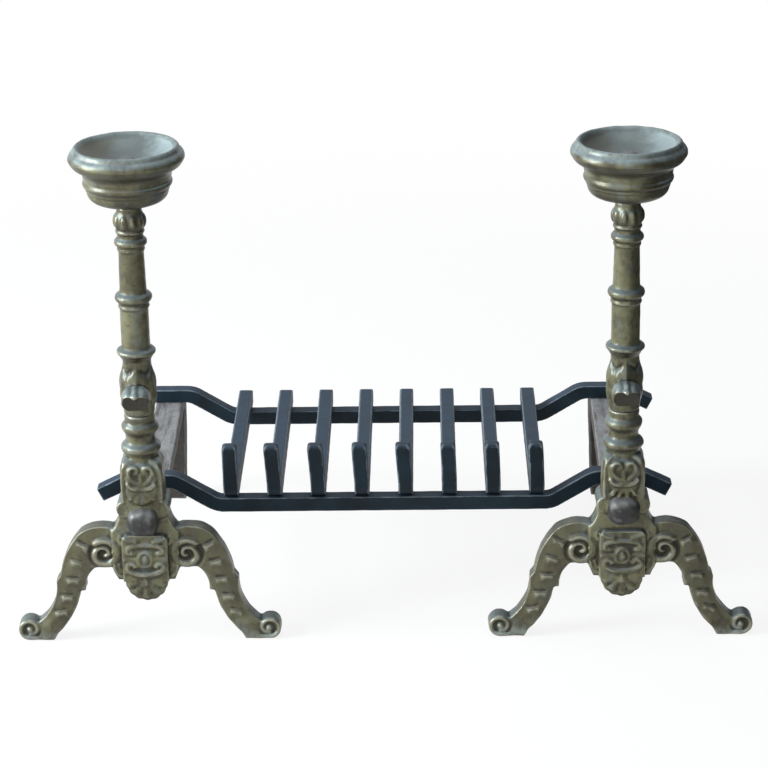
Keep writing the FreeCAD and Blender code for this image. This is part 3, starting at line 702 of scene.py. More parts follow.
# Hollow along a leg's outer edge, the strip beside it and where that rises, and its fall to the inner edge
LEG_HOLLOW = 1.0
LEG_STRIP = 2.0
STRIP_RISE = (0.05, 0.42)
LEG_FALL = 1.2
FALL_REACH = (0, 3.5)
# Ledges and the notches above them: height, where they rise and where they fall
LEDGE = (1.7, (-1.8, 0.2), (2.4, 10))
NOTCH = (1.2, (-6, -3.2), (-2.6, -1))
LEDGE_ENDS = (4.8, 9)
# Place and tilt in degrees of the ledges across the leg
RUNGS = [(66.5, 110.5, 24), (73, 91, 14), (78.5, 71, 4), (85.5, 51, 0), (93, 33, -12)]
VOLUTE_STEPS = 16
VOLUTE_CENTRE = (43, 101)
VOLUTE_EDGE = (16, 19.5)
VOLUTE_REACH = 17
# Height of the volute's band and depth of the ground round it
VOLUTE_RELIEF = (5.0, 1.6)
# Turn in degrees from the outer side, reach and half width of the volute's band
VOLUTE = [
    (50, 15.2, 4.6), (100, 14.2, 4.9), (180, 13.0, 4.9), (270, 12.4, 4.7), (340, 11.2, 4.2), (400, 8.4, 3.3),
    (450, 6.4, 2.9), (540, 4.2, 2.6), (630, 2.4, 2.4),
]
TOE_SCROLL = [
    (112, 2.4), (120, 2.2), (128, 2.2), (135.4, 5.2), (138, 12), (135.4, 18.8), (128, 21.6), (121.6, 18.6),
    (119.6, 13), (122.5, 8.4), (127.5, 7.6),
]
TOE_CENTRE = (128, 12)
TOE_EDGE = (10.5, 13.5)
TOE_EYE = (127.2, 12.6)
# Height and half width of the toe scroll's band and of its eye, and depth of the ground round them
TOE_BAND = (3.2, 3.2)
TOE_BUTTON = (4.0, 3.8)
TOE_GROUND = 1.4
PANEL_FRONT = -17.5
PLINTH_FRONT = -12.0
# Half width, height and points of each strap of the panel
PANEL_STRAPS = [
    (2.8, 2.4, [(0, 112.9), (8, 112.6), (14.5, 111.4), (18.6, 108.4), (18.2, 104.6), (15, 103.6),
                (13, 105.6)]),
    (2.0, 2.0, [(0, 105), (5.2, 102.4), (7.2, 96.4), (5.2, 90.4), (0, 87.8)]),
    (2.6, 1.6, [(8.5, 96.6), (14, 97.2), (22.5, 96.6)]),
    (3.2, 2.8, [(0, 78.8), (9, 79.7), (16, 82.8), (19.4, 87.4), (17, 91.6), (12.4, 91), (10.4, 87.4)]),
    (2.4, 2.0, [(22.6, 122.2), (18.5, 119.4), (13, 117.4), (8, 117.2)]),
]
# Half width and points of the leaf ears beside it
PANEL_EARS = [
    (2.6, [(25.5, 74.5), (29.5, 78), (32.4, 83), (33.2, 89)]),
    (1.9, [(24.5, 80), (27.5, 84), (28.8, 90)]),
    (1.8, [(24.6, 112), (27, 117), (26.4, 122)]),
]
# Half width at an ear's end and height of an ear, as shares of its half width
EAR_TAPER = 0.6
EAR_PROUD = 0.9
SHELL_FRONT = -14.5
SHELL_TOP = 73.0
SHELL_REACH = (19.8, 21.0)
SHELL_LOBES = 5
# Stretch and steps of a flute, its half widths and its height
FLUTE_SPAN = (0.12, 0.95, 12)
FLUTE_HALF = (2.2, 6.2)
FLUTE_PROUD = 3.2
BLOCK_FRONT = -19.0
SHIELD_FRONT = -21.0
BLOCK_HOOD = 199.5
HOOD_RADIUS = 11.0
# Border of the block: half width, share of it that lies in the block, and points
BORDER_HALF = 2.2
BORDER_SINK = 0.5
BLOCK_BORDER = [(19.4, 162), (19.8, 178), (19.6, 193), (17.6, 202), (11.5, 207.6), (0, 209.2)]
# Points, half widths and height of the shield's bands
HEART = [
    (0, 182), (5.4, 185.4), (10.6, 190.6), (12.6, 196), (10.6, 201.2), (6.4, 202.6), (3.2, 200), (4.6, 195.4),
]
HEART_BAND = ((1.8, 2.5), 1.7)
STEM = [(0, 178, 0), (0, 196, 0)]
STEM_BAND = (2.6, 1.8)
CRADLE = [(0, 178.4), (6, 178.7), (11, 180.4), (15, 185.4)]
CRADLE_BAND = ((2.8, 2.2), 2.4)
# Half width and points of the leaf lobes under it, their taper and height
LEAF_LOBES = [
    (3.0, [(0, 175.5), (4.5, 174.4), (9.4, 171), (12, 165.5)]),
    (2.8, [(0, 174), (3, 169), (5, 163.5)]),
]
LOBE_TAPER = 0.8
LOBE_PROUD = 2.8
# Name, place and radii of the rounded lumps on the base casting's front
BASE_LUMPS = [
    ("swelling", (0, SHIELD_FRONT + 3.5, 192), (15, 3.6, 14)),
    ("cabochon", (0, PANEL_FRONT, 96.4), (3.6, 2.6, 5.6)),
    ("drop", (0, PANEL_FRONT + 1, 70), (3.6, 3.6, 6.4)),
]

# Turned mouldings of one andiron: radius, height and swell

CUT_HEIGHT = 211.0
PEDESTAL_TURNING = [
    (0, 200, 0), (17, 200, 0), (17.2, 211.6, -0.2), (18.2, 212.8, 0.4), (18.5, 214, 0), (18.2, 214.6, 0),
    (19.1, 215.2, 2.1), (19.0, 223.6, 0), (18.3, 224.2, -1.5), (15.6, 230.2, -0.2), (15.4, 233, -0.3),
    (16.5, 235.2, 0.4), (16.6, 236.3, 0), (17.5, 237.1, 2.1), (17.5, 246.2, 0), (16.9, 246.8, -1.1),
    (15.9, 252, 0), (16, 257, 0), (0, 257, 0),
]
COLUMN_TURNING = [
    (0, 257, 0), (16, 257, 0), (16.2, 261, 0.4), (16.8, 283, 1.0), (15.2, 302, -0.3), (14.4, 314, -0.8),
    (17.2, 319.5, -0.8), (19.2, 322.6, 1.1), (19.3, 327.2, 0), (18.4, 327.8, -1.3), (14.65, 332, 0),
    (14.65, 372, 0), (15.6, 372.6, 0.9), (15.6, 375.4, 0), (15.2, 376, -0.9), (17.2, 379.4, 2.0),
    (17.2, 387.4, 0), (16.4, 387.9, -1.0), (14.0, 391.6, 0), (13.75, 393, 0), (12.85, 433, 0),
    (13.9, 433.6, 0.8), (13.9, 436.2, 0), (13.5, 436.8, -0.6), (15.2, 439, 1.8), (15.2, 446, 0),
    (14.4, 446.5, -0.7), (13.2, 449, 0), (13.2, 452, 0), (14.4, 452.2, 0.9), (14.4, 455.4, 0),
    (13.2, 455.8, 0), (14.6, 458, 1.6), (12.75, 475, 0), (12.75, 480, 0), (0, 480, 0),
]
CUP_TURNING = [
    (0, 480, 0), (13.4, 480, 0), (15.2, 480.2, 0.7), (15.2, 482.2, 0), (16.4, 482.9, 1.0), (33.5, 486.4, 2.0),
    (41.4, 497.2, 0.4), (42.4, 499.6, -0.5), (43.2, 501.6, 1.5), (44.3, 508.2, -0.4), (44.6, 511.5, -0.9),
    (47.4, 518.2, -0.3), (53.6, 522.6, 0.3), (57.6, 528.4, 0.5), (58.5, 531.6, 0.7), (55.2, 537.4, 0),
    (54.2, 538.0, 0), (53.8, 538.8, 0.5), (51.6, 542.7, 0.25), (50.0, 542.8, 0.4), (48.0, 541.4, 0),
    (46.8, 540.2, 0),
]
CUP_DISH = [
    (46.8, 540.2), (43.5, 537.2), (39, 534.4), (33, 531.6), (26, 529.2), (18, 527.5), (10, 526.3), (4, 526),
    (0, 526),
]
# Cup: steps of its dish and of its skin, rounds of softening, waves, share of the finer ones, seed, dents
DISH_STEPS = 7
CUP_STEP = 1.2
CUP_ROUNDS = 4
CUP_WAVES = (16, 45)
CUP_FINE = 0.5
CUP_SEED = 21
CUP_DENT = 0.16
LIP_DENT = 0.16
RIVET_TURNING = [(0, 218, 0), (5, 218, 0), (5, 526.2, 0), (9, 526.2, 0.6), (8.0, 528.4, 1.1), (0, 529.9, 0)]
RIVET_STEP = 1.0
RIVET_SIDES = 48
# Baluster leaf: steps along and across, top, half width there, how far it opens and where, waves of its edge
LEAF_STEPS = (30, 16)
LEAF_TOP = 316.5
LEAF_HALF = 7.4
LEAF_OPENS = 4.6
LEAF_OPENING = (0.08, 0.42)
LEAF_WAVES = (0.06, 30)
# Where its round tip starts, its least share, where it starts to curl and how far, its edge, crown and back
LEAF_TIP = (0.7, 0.3)
TIP_LEAST = 0.02
LEAF_CURL = (0.6, 0.9, 0.16)
LEAF_EDGE = 0.5
LEAF_CROWN = 0.9
LEAF_BACK = -2.0
# Height and half width of its rib, its veins, and the stretches over which it rises and falls away
LEAF_RIB = (0.8, 0.14)
LEAF_VEINS = (0.2, 9, 14)
LEAF_RISE = 0.3
LEAF_FALL = (1.15, 0.4)
# Heights of the turned column between which the leaves lie
LEAF_BODY = (258, 320)
GADROONS = 10
GADROON = ((0, -12.4, 464.6), (4.6, 4.9, 8.6), 20)
# Name, place and radii of the lumps that make the spit rest before its end is cut
REST_LUMPS = [
    ("rest_stem", (0, -16, 284), (10, 14, 9)), ("rest_boss", (0, -25, 281.8), (14, 16.2, 12.6)),
    ("rest_rib", (0, -27.5, 289.2), (4.4, 11, 6.2)), ("rest_nose", (0, -35.4, 287.0), (4.8, 6.0, 4.6)),
    ("rest_lobe", (-6.0, -26, 281.6), (9.0, 14.8, 12.6)), ("rest_lobe", (6.0, -26, 281.6), (9.0, 14.8, 12.6)),
]
# Hollows beside the leaves' ribs: place aside and height, slant, half length and width, depth, and the dirt
# and painted shade put in them
EYE_ASIDE = 7.4
EYE_HEIGHT = 305.5
EYE_SLANT = 0.6
EYE_HALF = (4.4, 2.8)
EYE_DEPTH = 2.4
EYE_DIRT_AND_SHADE = 0.6
# Cut end of the spit rest: upper edge, its arcs, half width, front, lean, hollow, its dirt and painted shade,
# and foot
REST_TOP = 284.6
REST_ARC = 2.8
REST_HALF = 14.5
REST_FRONT = -36.6
REST_LEAN = 0.42
REST_HOLLOW = 1.4
REST_DIRT_AND_SHADE = 0.62
REST_FOOT = 260.0
# Painted light on the rest's upward back: where it starts in front, how high it reaches, how strong it is;
# rim of the dirt and painted shade on its end
REST_AHEAD = -20
REST_BACK = 14
REST_PAINTED_LIGHT = 0.45
REST_RIM = 1.2
# Heights and reaches between which the lip's dents, the pale film and painted reflection on the rim, the
# painted light and shade across the dish, the pale film on the feet and the browner legs come in, and how
# strong they are
LIP_WEAR = (534, 540)
LIP_BLOOM_AND_SHEEN_SPAN = (529, 536)
LIP_BLOOM_AND_SHEEN = 0.52
DISH_EDGE = (45, 48)
DISH_FACING = (0.1, 0.4)
BOWL_SPAN = 38.0
FOOT_PATINA = (4, 40)
FOOT_BLOOM = 0.5
LEG_PATINA = (36, 46)
LEG_STAIN = 0.95
# Fineness of the columns' and nuts' skins as shares of the skin step, and of the welds' in millimetres
COLUMN_FINENESS = 0.9
NUT_FINENESS = 0.8
WELD_STEP = 0.7
# Nut: facets, fullness of its corners, and its middle and half height as shares of its solid's half height
NUT_SIDES = 48
NUT_FULLNESS = 2.8
NUT_MIDDLE = 0.97
NUT_HALF = 0.95
# Weld lines: distance in millimetres from the ends, and share of it that they lie off the corner
WELD_INSET = 2.2
WELD_SINK = 0.8
# Fineness in millimetres of the bands, and of the leg's edges and outline
BAND_STEP = 0.8
EDGE_STEP = 0.6
LEG_STEP = 1.5
# Fineness of the turned outlines, rounds of softening and facets round them
TURN_STEP = 0.5
TURN_ROUNDS = 8
TURN_SIDES = 96


class Relief:
    """Collects raised bands on a casting's front and turns them into one mesh."""

    def __init__(self):
        self.points = []
        self.edges = []
        self.swell = []

    def band(self, path, half, front, proud):
        """Round band along a path of (x, z), or of (x, y, z), that stands proud of a front face."""
        start = len(self.points)
        halves = half if hasattr(half, "__len__") else [half] * len(path)
        for place, reach in zip(path, halves):
            depth = place[1] if len(place) == 3 else front - proud + reach
            self.points.append((place[0] * MM, depth * MM, place[-1] * MM))
            self.swell.append(reach * MM)
        self.edges += [(start + i, start + i + 1) for i in range(len(path) - 1)]

    def twin(self, path, half, front, proud):
        self.band(path, half, front, proud)
        self.band(mirrored(path), half, front, proud)

    def mesh(self, fullness):
        host = bpy.data.meshes.new("relief")
        host.from_pydata(self.points, self.edges, [])
        kept = host.attributes.new("swell", "FLOAT", "POINT")
        kept.data.foreach_set("value", self.swell)
        values = {"Fullness": fullness, "Step": BAND_STEP * MM, "Material": finish_of("aged_bronze")}
        return band_tree().grown(host, values)


def tapered(path, start, end):
    """Half widths that change evenly along a path."""
    return [start + (end - start) * i / (len(path) - 1) for i in range(len(path))]


def rise(value, low, high):
    """Soft step from 0 at low to 1 at high."""
    share = np.clip((value - low) / (high - low), 0, 1)
    return share * share * (3 - 2 * share)


def swelling(distance, half):
    """Height of a flat-topped band across its half width, from 1 to 0."""
    return np.clip(1 - (distance / half) ** 4, 0, 1)


def numbered(path, start, end):
    """Path of (a, b) with a number that runs along it."""
    return [(a, b, number) for (a, b), number in zip(path, np.linspace(start, end, len(path)))]


def nearest(places, path):
    """Distance of each place to a numbered path, and the number there."""
    path = np.array(path)
    away = np.hypot(places[:, :1] - path[:, 0], places[:, 1:] - path[:, 1])
    closest = away.argmin(1)
    return away[np.arange(len(places)), closest], path[closest, 2]


def hump(value, height, up, down):
    """Height that rises over one stretch and falls over another."""
    return height * rise(value, *up) * (1 - rise(value, *down))


def rung_height(places):
    """Carved height of a leg's front: a hollow along the outer edge, and a strip with ledges across it."""
    edges = [numbered(drawn(edge, EDGE_STEP), 0, 1) for edge in (LEG_OUTER, LEG_INNER)]
    outer, inner = (nearest(places, edge)[0] for edge in edges)
    strip = LEG_STRIP * rise(outer / (outer + inner), *STRIP_RISE)
    height = -LEG_HOLLOW + strip - LEG_FALL * (1 - rise(inner, *FALL_REACH))
    for a, b, tilt in RUNGS:
        lean = math.radians(tilt)
        along = (places[:, 0] - a) * math.cos(lean) + (places[:, 1] - b) * math.sin(lean)
        down = (places[:, 0] - a) * math.sin(lean) - (places[:, 1] - b) * math.cos(lean)
        height += (hump(down, *LEDGE) - hump(down, *NOTCH)) * (1 - rise(np.abs(along), *LEDGE_ENDS))
    return height


def volute_band():
    """Numbered path of the volute's band, with its half width as the number."""
    turn, reach, half = np.array(flowing(VOLUTE, VOLUTE_STEPS)).T
    a = VOLUTE_CENTRE[0] + reach * np.cos(np.radians(turn))
    b = VOLUTE_CENTRE[1] + reach * np.sin(np.radians(turn))
    return list(zip(a, b, half))


def leg_height(places):
    """Carved height of a leg's front with its volute and its toe scroll."""
    height = rung_height(places)
    band, half = nearest(places, volute_band())
    boss = 1 - rise(np.hypot(*(places - VOLUTE_CENTRE).T), *VOLUTE_EDGE)
    raised, ground = VOLUTE_RELIEF
    height = height * (1 - boss) + (raised * swelling(band, half) - ground) * boss
    band, along = nearest(places, numbered(flowing(TOE_SCROLL), 0, 1))
    eye = np.hypot(*(places - TOE_EYE).T)
    curl = TOE_BAND[0] * swelling(band, TOE_BAND[1] - along)
    curl = np.maximum(curl, TOE_BUTTON[0] * swelling(eye, TOE_BUTTON[1])) - TOE_GROUND
    toe = 1 - rise(np.hypot(*(places - TOE_CENTRE).T), *TOE_EDGE)
    return height * (1 - toe) + curl * toe


def placed(points, hand):
    """Places of points across an andiron's axis, behind it and above the floor, in millimetres."""
    return ((points - (*axis_of(hand), 0)) / MM).T


def leg_carving(hand):
    """Function that moves the points of a base casting's leg fronts to their carved height."""
    y = axis_of(hand)[1]

    def carve(skin):
        across, behind, height = placed(skin.points, hand)
        reach = np.abs(across)
        volute = np.hypot(reach - VOLUTE_CENTRE[0], height - VOLUTE_CENTRE[1]) < VOLUTE_REACH
        front = (behind < LEG_FRONT + CARVED_LAYER) & (skin.normals()[:, 1] < CARVED_FACING)
        chosen = front & ((reach > LEG_ROOT) | (volute & (reach > LEG_INNER[0][0])))
        depth = LEG_FRONT - leg_height(np.stack((reach, height), 1)[chosen])
        root = reach[chosen] < LEG_ROOT
        depth[root] = np.minimum(depth[root], behind[chosen][root])
        moved = skin.points.copy()
        moved[chosen, 1] = y + depth * MM
        return moved

    return carve


def leg_mesh(way):
    """Plain leg of one side, cut from plate thickness."""
    outline = drawn(LEG_PROFILE, LEG_STEP)[:-1]
    count = len(outline)
    points = [(way * a, depth, b) for depth in (LEG_FRONT, -LEG_FRONT) for a, b in outline]
    faces = [tuple(range(count)), tuple(range(2 * count - 1, count - 1, -1))]
    for i in range(count):
        after = (i + 1) % count
        faces.append((i, i + count, after + count, after))
    return mesh_from("leg", points, faces)


def panel_relief(relief):
    """Strapwork of the plinth's panel, the leaf ears beside it and the flutes of the shell under it."""
    for half, proud, points in PANEL_STRAPS:
        relief.twin(flowing(points), half, PANEL_FRONT, proud)
    for half, points in PANEL_EARS:
        ear = flowing(points)
        relief.twin(ear, tapered(ear, half, half * EAR_TAPER), PLINTH_FRONT, half * EAR_PROUD)
    for number in range(SHELL_LOBES):
        angle = math.pi * (1 + (number + 0.5) / SHELL_LOBES)
        end = (SHELL_REACH[0] * math.cos(angle), SHELL_TOP + SHELL_REACH[1] * math.sin(angle))
        flute = [(end[0] * t, SHELL_TOP + (end[1] - SHELL_TOP) * t) for t in np.linspace(*FLUTE_SPAN)]
        relief.band(flute, tapered(flute, *FLUTE_HALF), SHELL_FRONT, FLUTE_PROUD)


def hood_depth(height):
    """Front of the block at a height, where its shoulder rounds back."""
    over = max(0.0, height - BLOCK_HOOD)
    return BLOCK_FRONT + HOOD_RADIUS - math.sqrt(max(0.0, HOOD_RADIUS * HOOD_RADIUS - over * over))


def block_relief(relief):
    """Border, heart, stem, cradle and leaf lobes on the pedestal block's front."""
    path = [(x, hood_depth(z) + BORDER_HALF * BORDER_SINK, z) for x, z in flowing(BLOCK_BORDER)]
    relief.band(path, BORDER_HALF, 0, 0)
    relief.band([(-x, y, z) for x, y, z in path], BORDER_HALF, 0, 0)
    heart = flowing(HEART)
    relief.twin(heart, tapered(heart, *HEART_BAND[0]), SHIELD_FRONT, HEART_BAND[1])
    relief.band(drawn(STEM), STEM_BAND[0], SHIELD_FRONT, STEM_BAND[1])
    cradle = flowing(CRADLE)
    relief.twin(cradle, tapered(cradle, *CRADLE_BAND[0]), SHIELD_FRONT, CRADLE_BAND[1])
    for half, points in LEAF_LOBES:
        lobe = flowing(points)
        relief.twin(lobe, tapered(lobe, half, half * LOBE_TAPER), BLOCK_FRONT, LOBE_PROUD)


def scaled(mesh, hand):
    """Mesh in millimetres round the origin moved to an andiron's axis, in metres."""
    x, y = axis_of(hand)
    mesh.transform(Matrix.Translation((x, y, 0)) @ Matrix.Scale(MM, 4))
    return mesh


def moulding(name, turning):
    """Turned piece with softened corners."""
    return turned(name, softened(drawn(turning, TURN_STEP), TURN_ROUNDS), TURN_SIDES)


def base_mesh(hand, shapes):
    """Base casting: the CAD form with its carved relief and round mouldings."""
    x, y = axis_of(hand)
    relief = Relief()
    panel_relief(relief)
    block_relief(relief)
    carved = relief.mesh(shapes.relief_fullness)
    carved.transform(Matrix.Translation((x, y, 0)))
    cuts = [((0, 0, CUT_HEIGHT * MM), (0, 0, 1))]
    cuts += [((x + way * LEG_ROOT * MM, 0, 0), (way, 0, 0)) for way in (-1, 1)]
    parts = [cad_copy(hand + "_base_casting", cuts), carved]
    solids = [moulding("rings", PEDESTAL_TURNING), leg_mesh(-1), leg_mesh(1)]
    solids += [blob(*lump) for lump in BASE_LUMPS]
    parts += [scaled(solid, hand) for solid in solids]
    mesh = cast_skin(hand + "_base", parts, "base", HANDS.index(hand), shapes.skin_step, leg_carving(hand))
    skin = Skin(mesh)
    across, _, height = placed(skin.points, hand)
    raised = rise(height, *FOOT_PATINA)
    leg = rise(np.abs(across), *LEG_PATINA)
    skin.keep("patina", FOOT_BLOOM * (1 - raised) - LEG_STAIN * raised * leg)
    return mesh


def leaf_half(u):
    """Half width of a leaf at a share of its length: it opens, waves and ends in a round tip."""
    opening = min(1.0, max(0.0, (u - LEAF_OPENING[0]) / LEAF_OPENING[1]))
    half = LEAF_HALF + LEAF_OPENS * opening * opening * (3 - 2 * opening)
    half *= 1.0 + LEAF_WAVES[0] * math.cos(u * LEAF_WAVES[1])
    tip = max(0.0, u - LEAF_TIP[0]) / LEAF_TIP[1]
    return half * math.sqrt(max(TIP_LEAST, 1 - tip ** 2))


def leaf_lift(u, v):
    """Height of a leaf over the column at shares of its length and of its half width."""
    start, amount, span = LEAF_CURL
    curl = amount * max(0.0, u - start) ** 2 / span
    rib = LEAF_RIB[0] * math.exp(-(v / LEAF_RIB[1]) ** 2)
    rib += LEAF_VEINS[0] * math.cos(abs(v) * LEAF_VEINS[1] + u * LEAF_VEINS[2])
    full = LEAF_EDGE + LEAF_CROWN * (1 - v * v) + rib + curl
    return min(1.0, u / LEAF_RISE, (LEAF_FALL[0] - u) / LEAF_FALL[1]) * full


def leaf_mesh(shapes):
    """One acanthus leaf on the front of the baluster, hanging from the ring above it."""
    long_steps, wide_steps = LEAF_STEPS
    length = shapes.leaf_length / MM
    outline = np.array(drawn(COLUMN_TURNING, BAND_STEP))
    climb = outline[(outline[:, 1] > LEAF_BODY[0]) & (outline[:, 1] < LEAF_BODY[1])]
    points = []
    for seen in (True, False):
        for i in range(long_steps + 1):
            u = i / long_steps
            height = LEAF_TOP - length * u
            body = np.interp(height, climb[:, 1], climb[:, 0])
            for k in range(wide_steps + 1):
                v = 2 * k / wide_steps - 1
                reach = body + (leaf_lift(u, v) if seen else LEAF_BACK)
                angle = leaf_half(u) * v / body
                points.append((reach * math.sin(angle), -reach * math.cos(angle), height))
    row = wide_steps + 1
    sheet = row * (long_steps + 1)
    faces = []
    for i in range(long_steps):
        for k in range(wide_steps):
            a = i * row + k
            faces.append((a, a + 1, a + row + 1, a + row))
            faces.append((a + sheet, a + row + sheet, a + row + 1 + sheet, a + 1 + sheet))
    rim = list(range(row)) + [i * row + row - 1 for i in range(1, long_steps + 1)]
    rim += [long_steps * row + k for k in range(row - 2, -1, -1)]
    rim += [i * row for i in range(long_steps - 1, 0, -1)]
    for here, there in zip(rim, rim[1:] + rim[:1]):
        faces.append((here, here + sheet, there + sheet, there))
    return mesh_from("leaf", points, faces)


def rest_edge(across):
    """Height of the leaf's edge over the cut end of the spit rest: two arcs that meet in the middle."""
    return REST_TOP + REST_ARC * np.sin(math.pi * np.clip(np.abs(across) / REST_HALF, 0, 1))


def rest_front(across, height):
    """Depth of the cut end, which leans back towards its foot and is hollow."""
    lean = REST_FRONT + (REST_TOP - height) * REST_LEAN
    return lean + REST_HOLLOW * np.clip(1 - (across / REST_HALF) ** 2, 0, 1)


def leaf_eyes(across, behind, height, leaves):
    """Depth of the slanting hollows beside the ribs of the leaves, for places on a column."""
    reach = np.hypot(across, behind)
    turn = np.arctan2(across, -behind)
    depth = np.zeros(len(reach))
    for number in range(leaves):
        aside = ((turn - TURN * number / leaves + math.pi) % TURN - math.pi) * reach
        along = np.abs(aside) - EYE_ASIDE
        down = EYE_HEIGHT - height - along * EYE_SLANT
        depth += EYE_DEPTH * np.exp(-(along / EYE_HALF[0]) ** 2 - (down / EYE_HALF[1]) ** 2)
    return depth


def column_carving(hand, leaves):
    """Function that hollows the leaves of a column and cuts its spit rest's end back to a hollow face."""
    x, y = axis_of(hand)

    def carve(skin):
        across, behind, height = placed(skin.points, hand)
        eyes = leaf_eyes(across, behind, height, leaves)
        shrink = 1 - eyes / np.maximum(np.hypot(across, behind), 1)
        behind = behind * shrink
        depth = rest_front(across, height)
        chosen = (behind < depth) & (height < rest_edge(across)) & (height > REST_FOOT)
        behind = np.where(chosen, depth, behind)
        return np.stack((x + across * shrink * MM, y + behind * MM, skin.points[:, 2]), 1)

    return carve


def column_dirt_and_painted_light(skin, hand, leaves):
    """Dirt and painted shade on the spit rest's cut end and beside the leaves' ribs, and painted light on the
    rest's back.
    """
    across, behind, height = placed(skin.points, hand)
    ahead = behind < REST_AHEAD
    end = ahead & (behind < rest_front(across, height) + REST_RIM) & (height < rest_edge(across))
    back = ahead & (height > REST_TOP) & (height < REST_TOP + REST_BACK)
    # The rest's cut end is made brown and dark as painted shade with some dirt; its upward back is made pale
    # as painted light.
    skin.keep("patina", np.where(end, -1.0, np.where(back, REST_PAINTED_LIGHT, 0.0)))
    # The hollows beside the ribs are darkened: dirt and painted shade.
    eyes = leaf_eyes(across, behind, height, leaves) / EYE_DEPTH * EYE_DIRT_AND_SHADE
    skin.keep("hollow", np.where(end, REST_DIRT_AND_SHADE, np.maximum(skin.kept("hollow"), eyes)))


def column_mesh(hand, shapes):
    """Column: turned shafts and rings, hanging leaves, gadrooned knop and spit rest."""
    bronze = finish_of("aged_bronze")
    ring = ring_tree()
    parts = [moulding("shaft", COLUMN_TURNING)]
    parts.append(ring.grown(leaf_mesh(shapes), {"Count": shapes.leaves, "Material": bronze}))
    knop = {"Count": GADROONS, "Start": TURN / GADROONS / 2, "Material": bronze}
    parts.append(ring.grown(blob("gadroon", *GADROON), knop))
    parts += [blob(*lump) for lump in REST_LUMPS]
    whole = scaled(joined("column", parts), hand)
    step = shapes.skin_step * COLUMN_FINENESS
    carve = column_carving(hand, shapes.leaves)
    mesh = cast_skin(hand + "_column", [whole], "column", HANDS.index(hand), step, carve)
    column_dirt_and_painted_light(Skin(mesh), hand, shapes.leaves)
    return mesh


def cup_mesh(hand, shapes):
    """Cup: turned outside with bead and hollow, rolled rim and smooth dish."""
    profile = softened(drawn(CUP_TURNING, EDGE_STEP)[:-1] + flowing(CUP_DISH, DISH_STEPS), CUP_ROUNDS)
    mesh = scaled(turned(hand + "_cup_skin", profile, shapes.cup_sides), hand)
    skin = Skin(mesh)
    seed = HANDS.index(hand) + CUP_SEED
    fine, broad = (rough(skin.points, size, seed + number) for number, size in enumerate(CUP_WAVES))
    waves = fine * CUP_FINE + broad
    lip = rise(skin.points[:, 2], LIP_WEAR[0] * MM, LIP_WEAR[1] * MM)
    skin.place(skin.points - skin.normals() * (np.abs(waves) * (CUP_DENT + LIP_DENT * lip) * MM)[:, None])
    finish_skin(skin, CUP_STEP * MM)
    across, behind, height = placed(skin.points, hand)
    # Painted light and shade across the dish: its right side is made paler and its left side browner, as if
    # lit from the left.
    bowl = (1 - rise(np.hypot(across, behind), *DISH_EDGE)) * rise(skin.normals()[:, 2], *DISH_FACING)
    # The rim is made pale: partly a pale film, partly a painted reflection on its bright bevel.
    rim = rise(height, *LIP_BLOOM_AND_SHEEN_SPAN) * (1 - bowl)
    skin.keep("patina", bowl * across / BOWL_SPAN + rim * LIP_BLOOM_AND_SHEEN)
    return mesh


def nut_mesh(hand):
    """Forged nut: a rounded lump with a flat back, in the space of its CAD solid."""
    low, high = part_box(hand + "_billet_nut")
    half = (high - low) / 2
    mesh = blob("nut", (0, 0, 0), (1, 1, 1), NUT_SIDES)
    for vertex in mesh.vertices:
        fullness = sum(abs(value) ** NUT_FULLNESS for value in vertex.co) ** (1 / NUT_FULLNESS)
        across, ahead, up = vertex.co / fullness
        vertex.co = (low.x + half.x * (1 + across), high.y + 2 * half.y * min(0, ahead),
                     low.z + half.z * (NUT_MIDDLE + NUT_HALF * up))
    return mesh


def linked_groups(work):
    """Points of each loose part of a work copy."""
    unseen = set(work.verts)
    while unseen:
        group = [unseen.pop()]
        for vert in group:
            for edge in vert.link_edges:
                other = edge.other_vert(vert)
                if other in unseen:
                    unseen.discard(other)
                    group.append(other)
        yield np.array([v.co for v in group])


def bead_lines(node):
    """Lines under the slats where the welds run, from the CAD weld solids."""
    work = merged(node)
    reach = WELD_INSET * MM
    points = []
    for place in linked_groups(work):
        corner = place[np.argmax(place[:, 2] - place[:, 1])]
        depth, height = corner[1] + reach * WELD_SINK, corner[2] - reach * WELD_SINK
        for x in (place[:, 0].min() + reach, place[:, 0].max() - reach):
            points.append((x, depth, height))
    work.free()
    mesh = bpy.data.meshes.new(node + "_lines")
    mesh.from_pydata(points, [(i, i + 1) for i in range(0, len(points), 2)], [])
    return mesh


# Settings a user would change


def colour(name, description, default):
    return bpy.props.FloatVectorProperty(name=name, description=description, default=default, size=3,
                                         subtype="COLOR", min=0, max=1)


class AndironShapes(bpy.types.PropertyGroup):
    """Sizes of the cast and forged skins."""

    skin_step: bpy.props.FloatProperty(
        name="Skin step", description="Fineness of the cast skins", default=0.001, min=0.0005, unit="LENGTH")
    bar_step: bpy.props.FloatProperty(
        name="Bar step", description="Fineness of the forged bars", default=0.0011, min=0.0005, unit="LENGTH")
    relief_fullness: bpy.props.FloatProperty(
        name="Relief fullness", description="Thickness of the carved bands, as a factor", default=1.0,
        min=0.2, max=2)
    leaves: bpy.props.IntProperty(
        name="Leaves", description="Acanthus leaves round each baluster", default=4, min=3, max=12)
    leaf_length: bpy.props.FloatProperty(
        name="Leaf length", description="Length of a baluster leaf", default=0.05, min=0.02, unit="LENGTH")
    cup_sides: bpy.props.IntProperty(
        name="Cup sides", description="Facets round a cup", default=160, min=24)
    weld_bead: bpy.props.FloatProperty(
        name="Weld bead", description="Radius of a round of weld metal", default=0.0024, min=0.0005,
        unit="LENGTH")


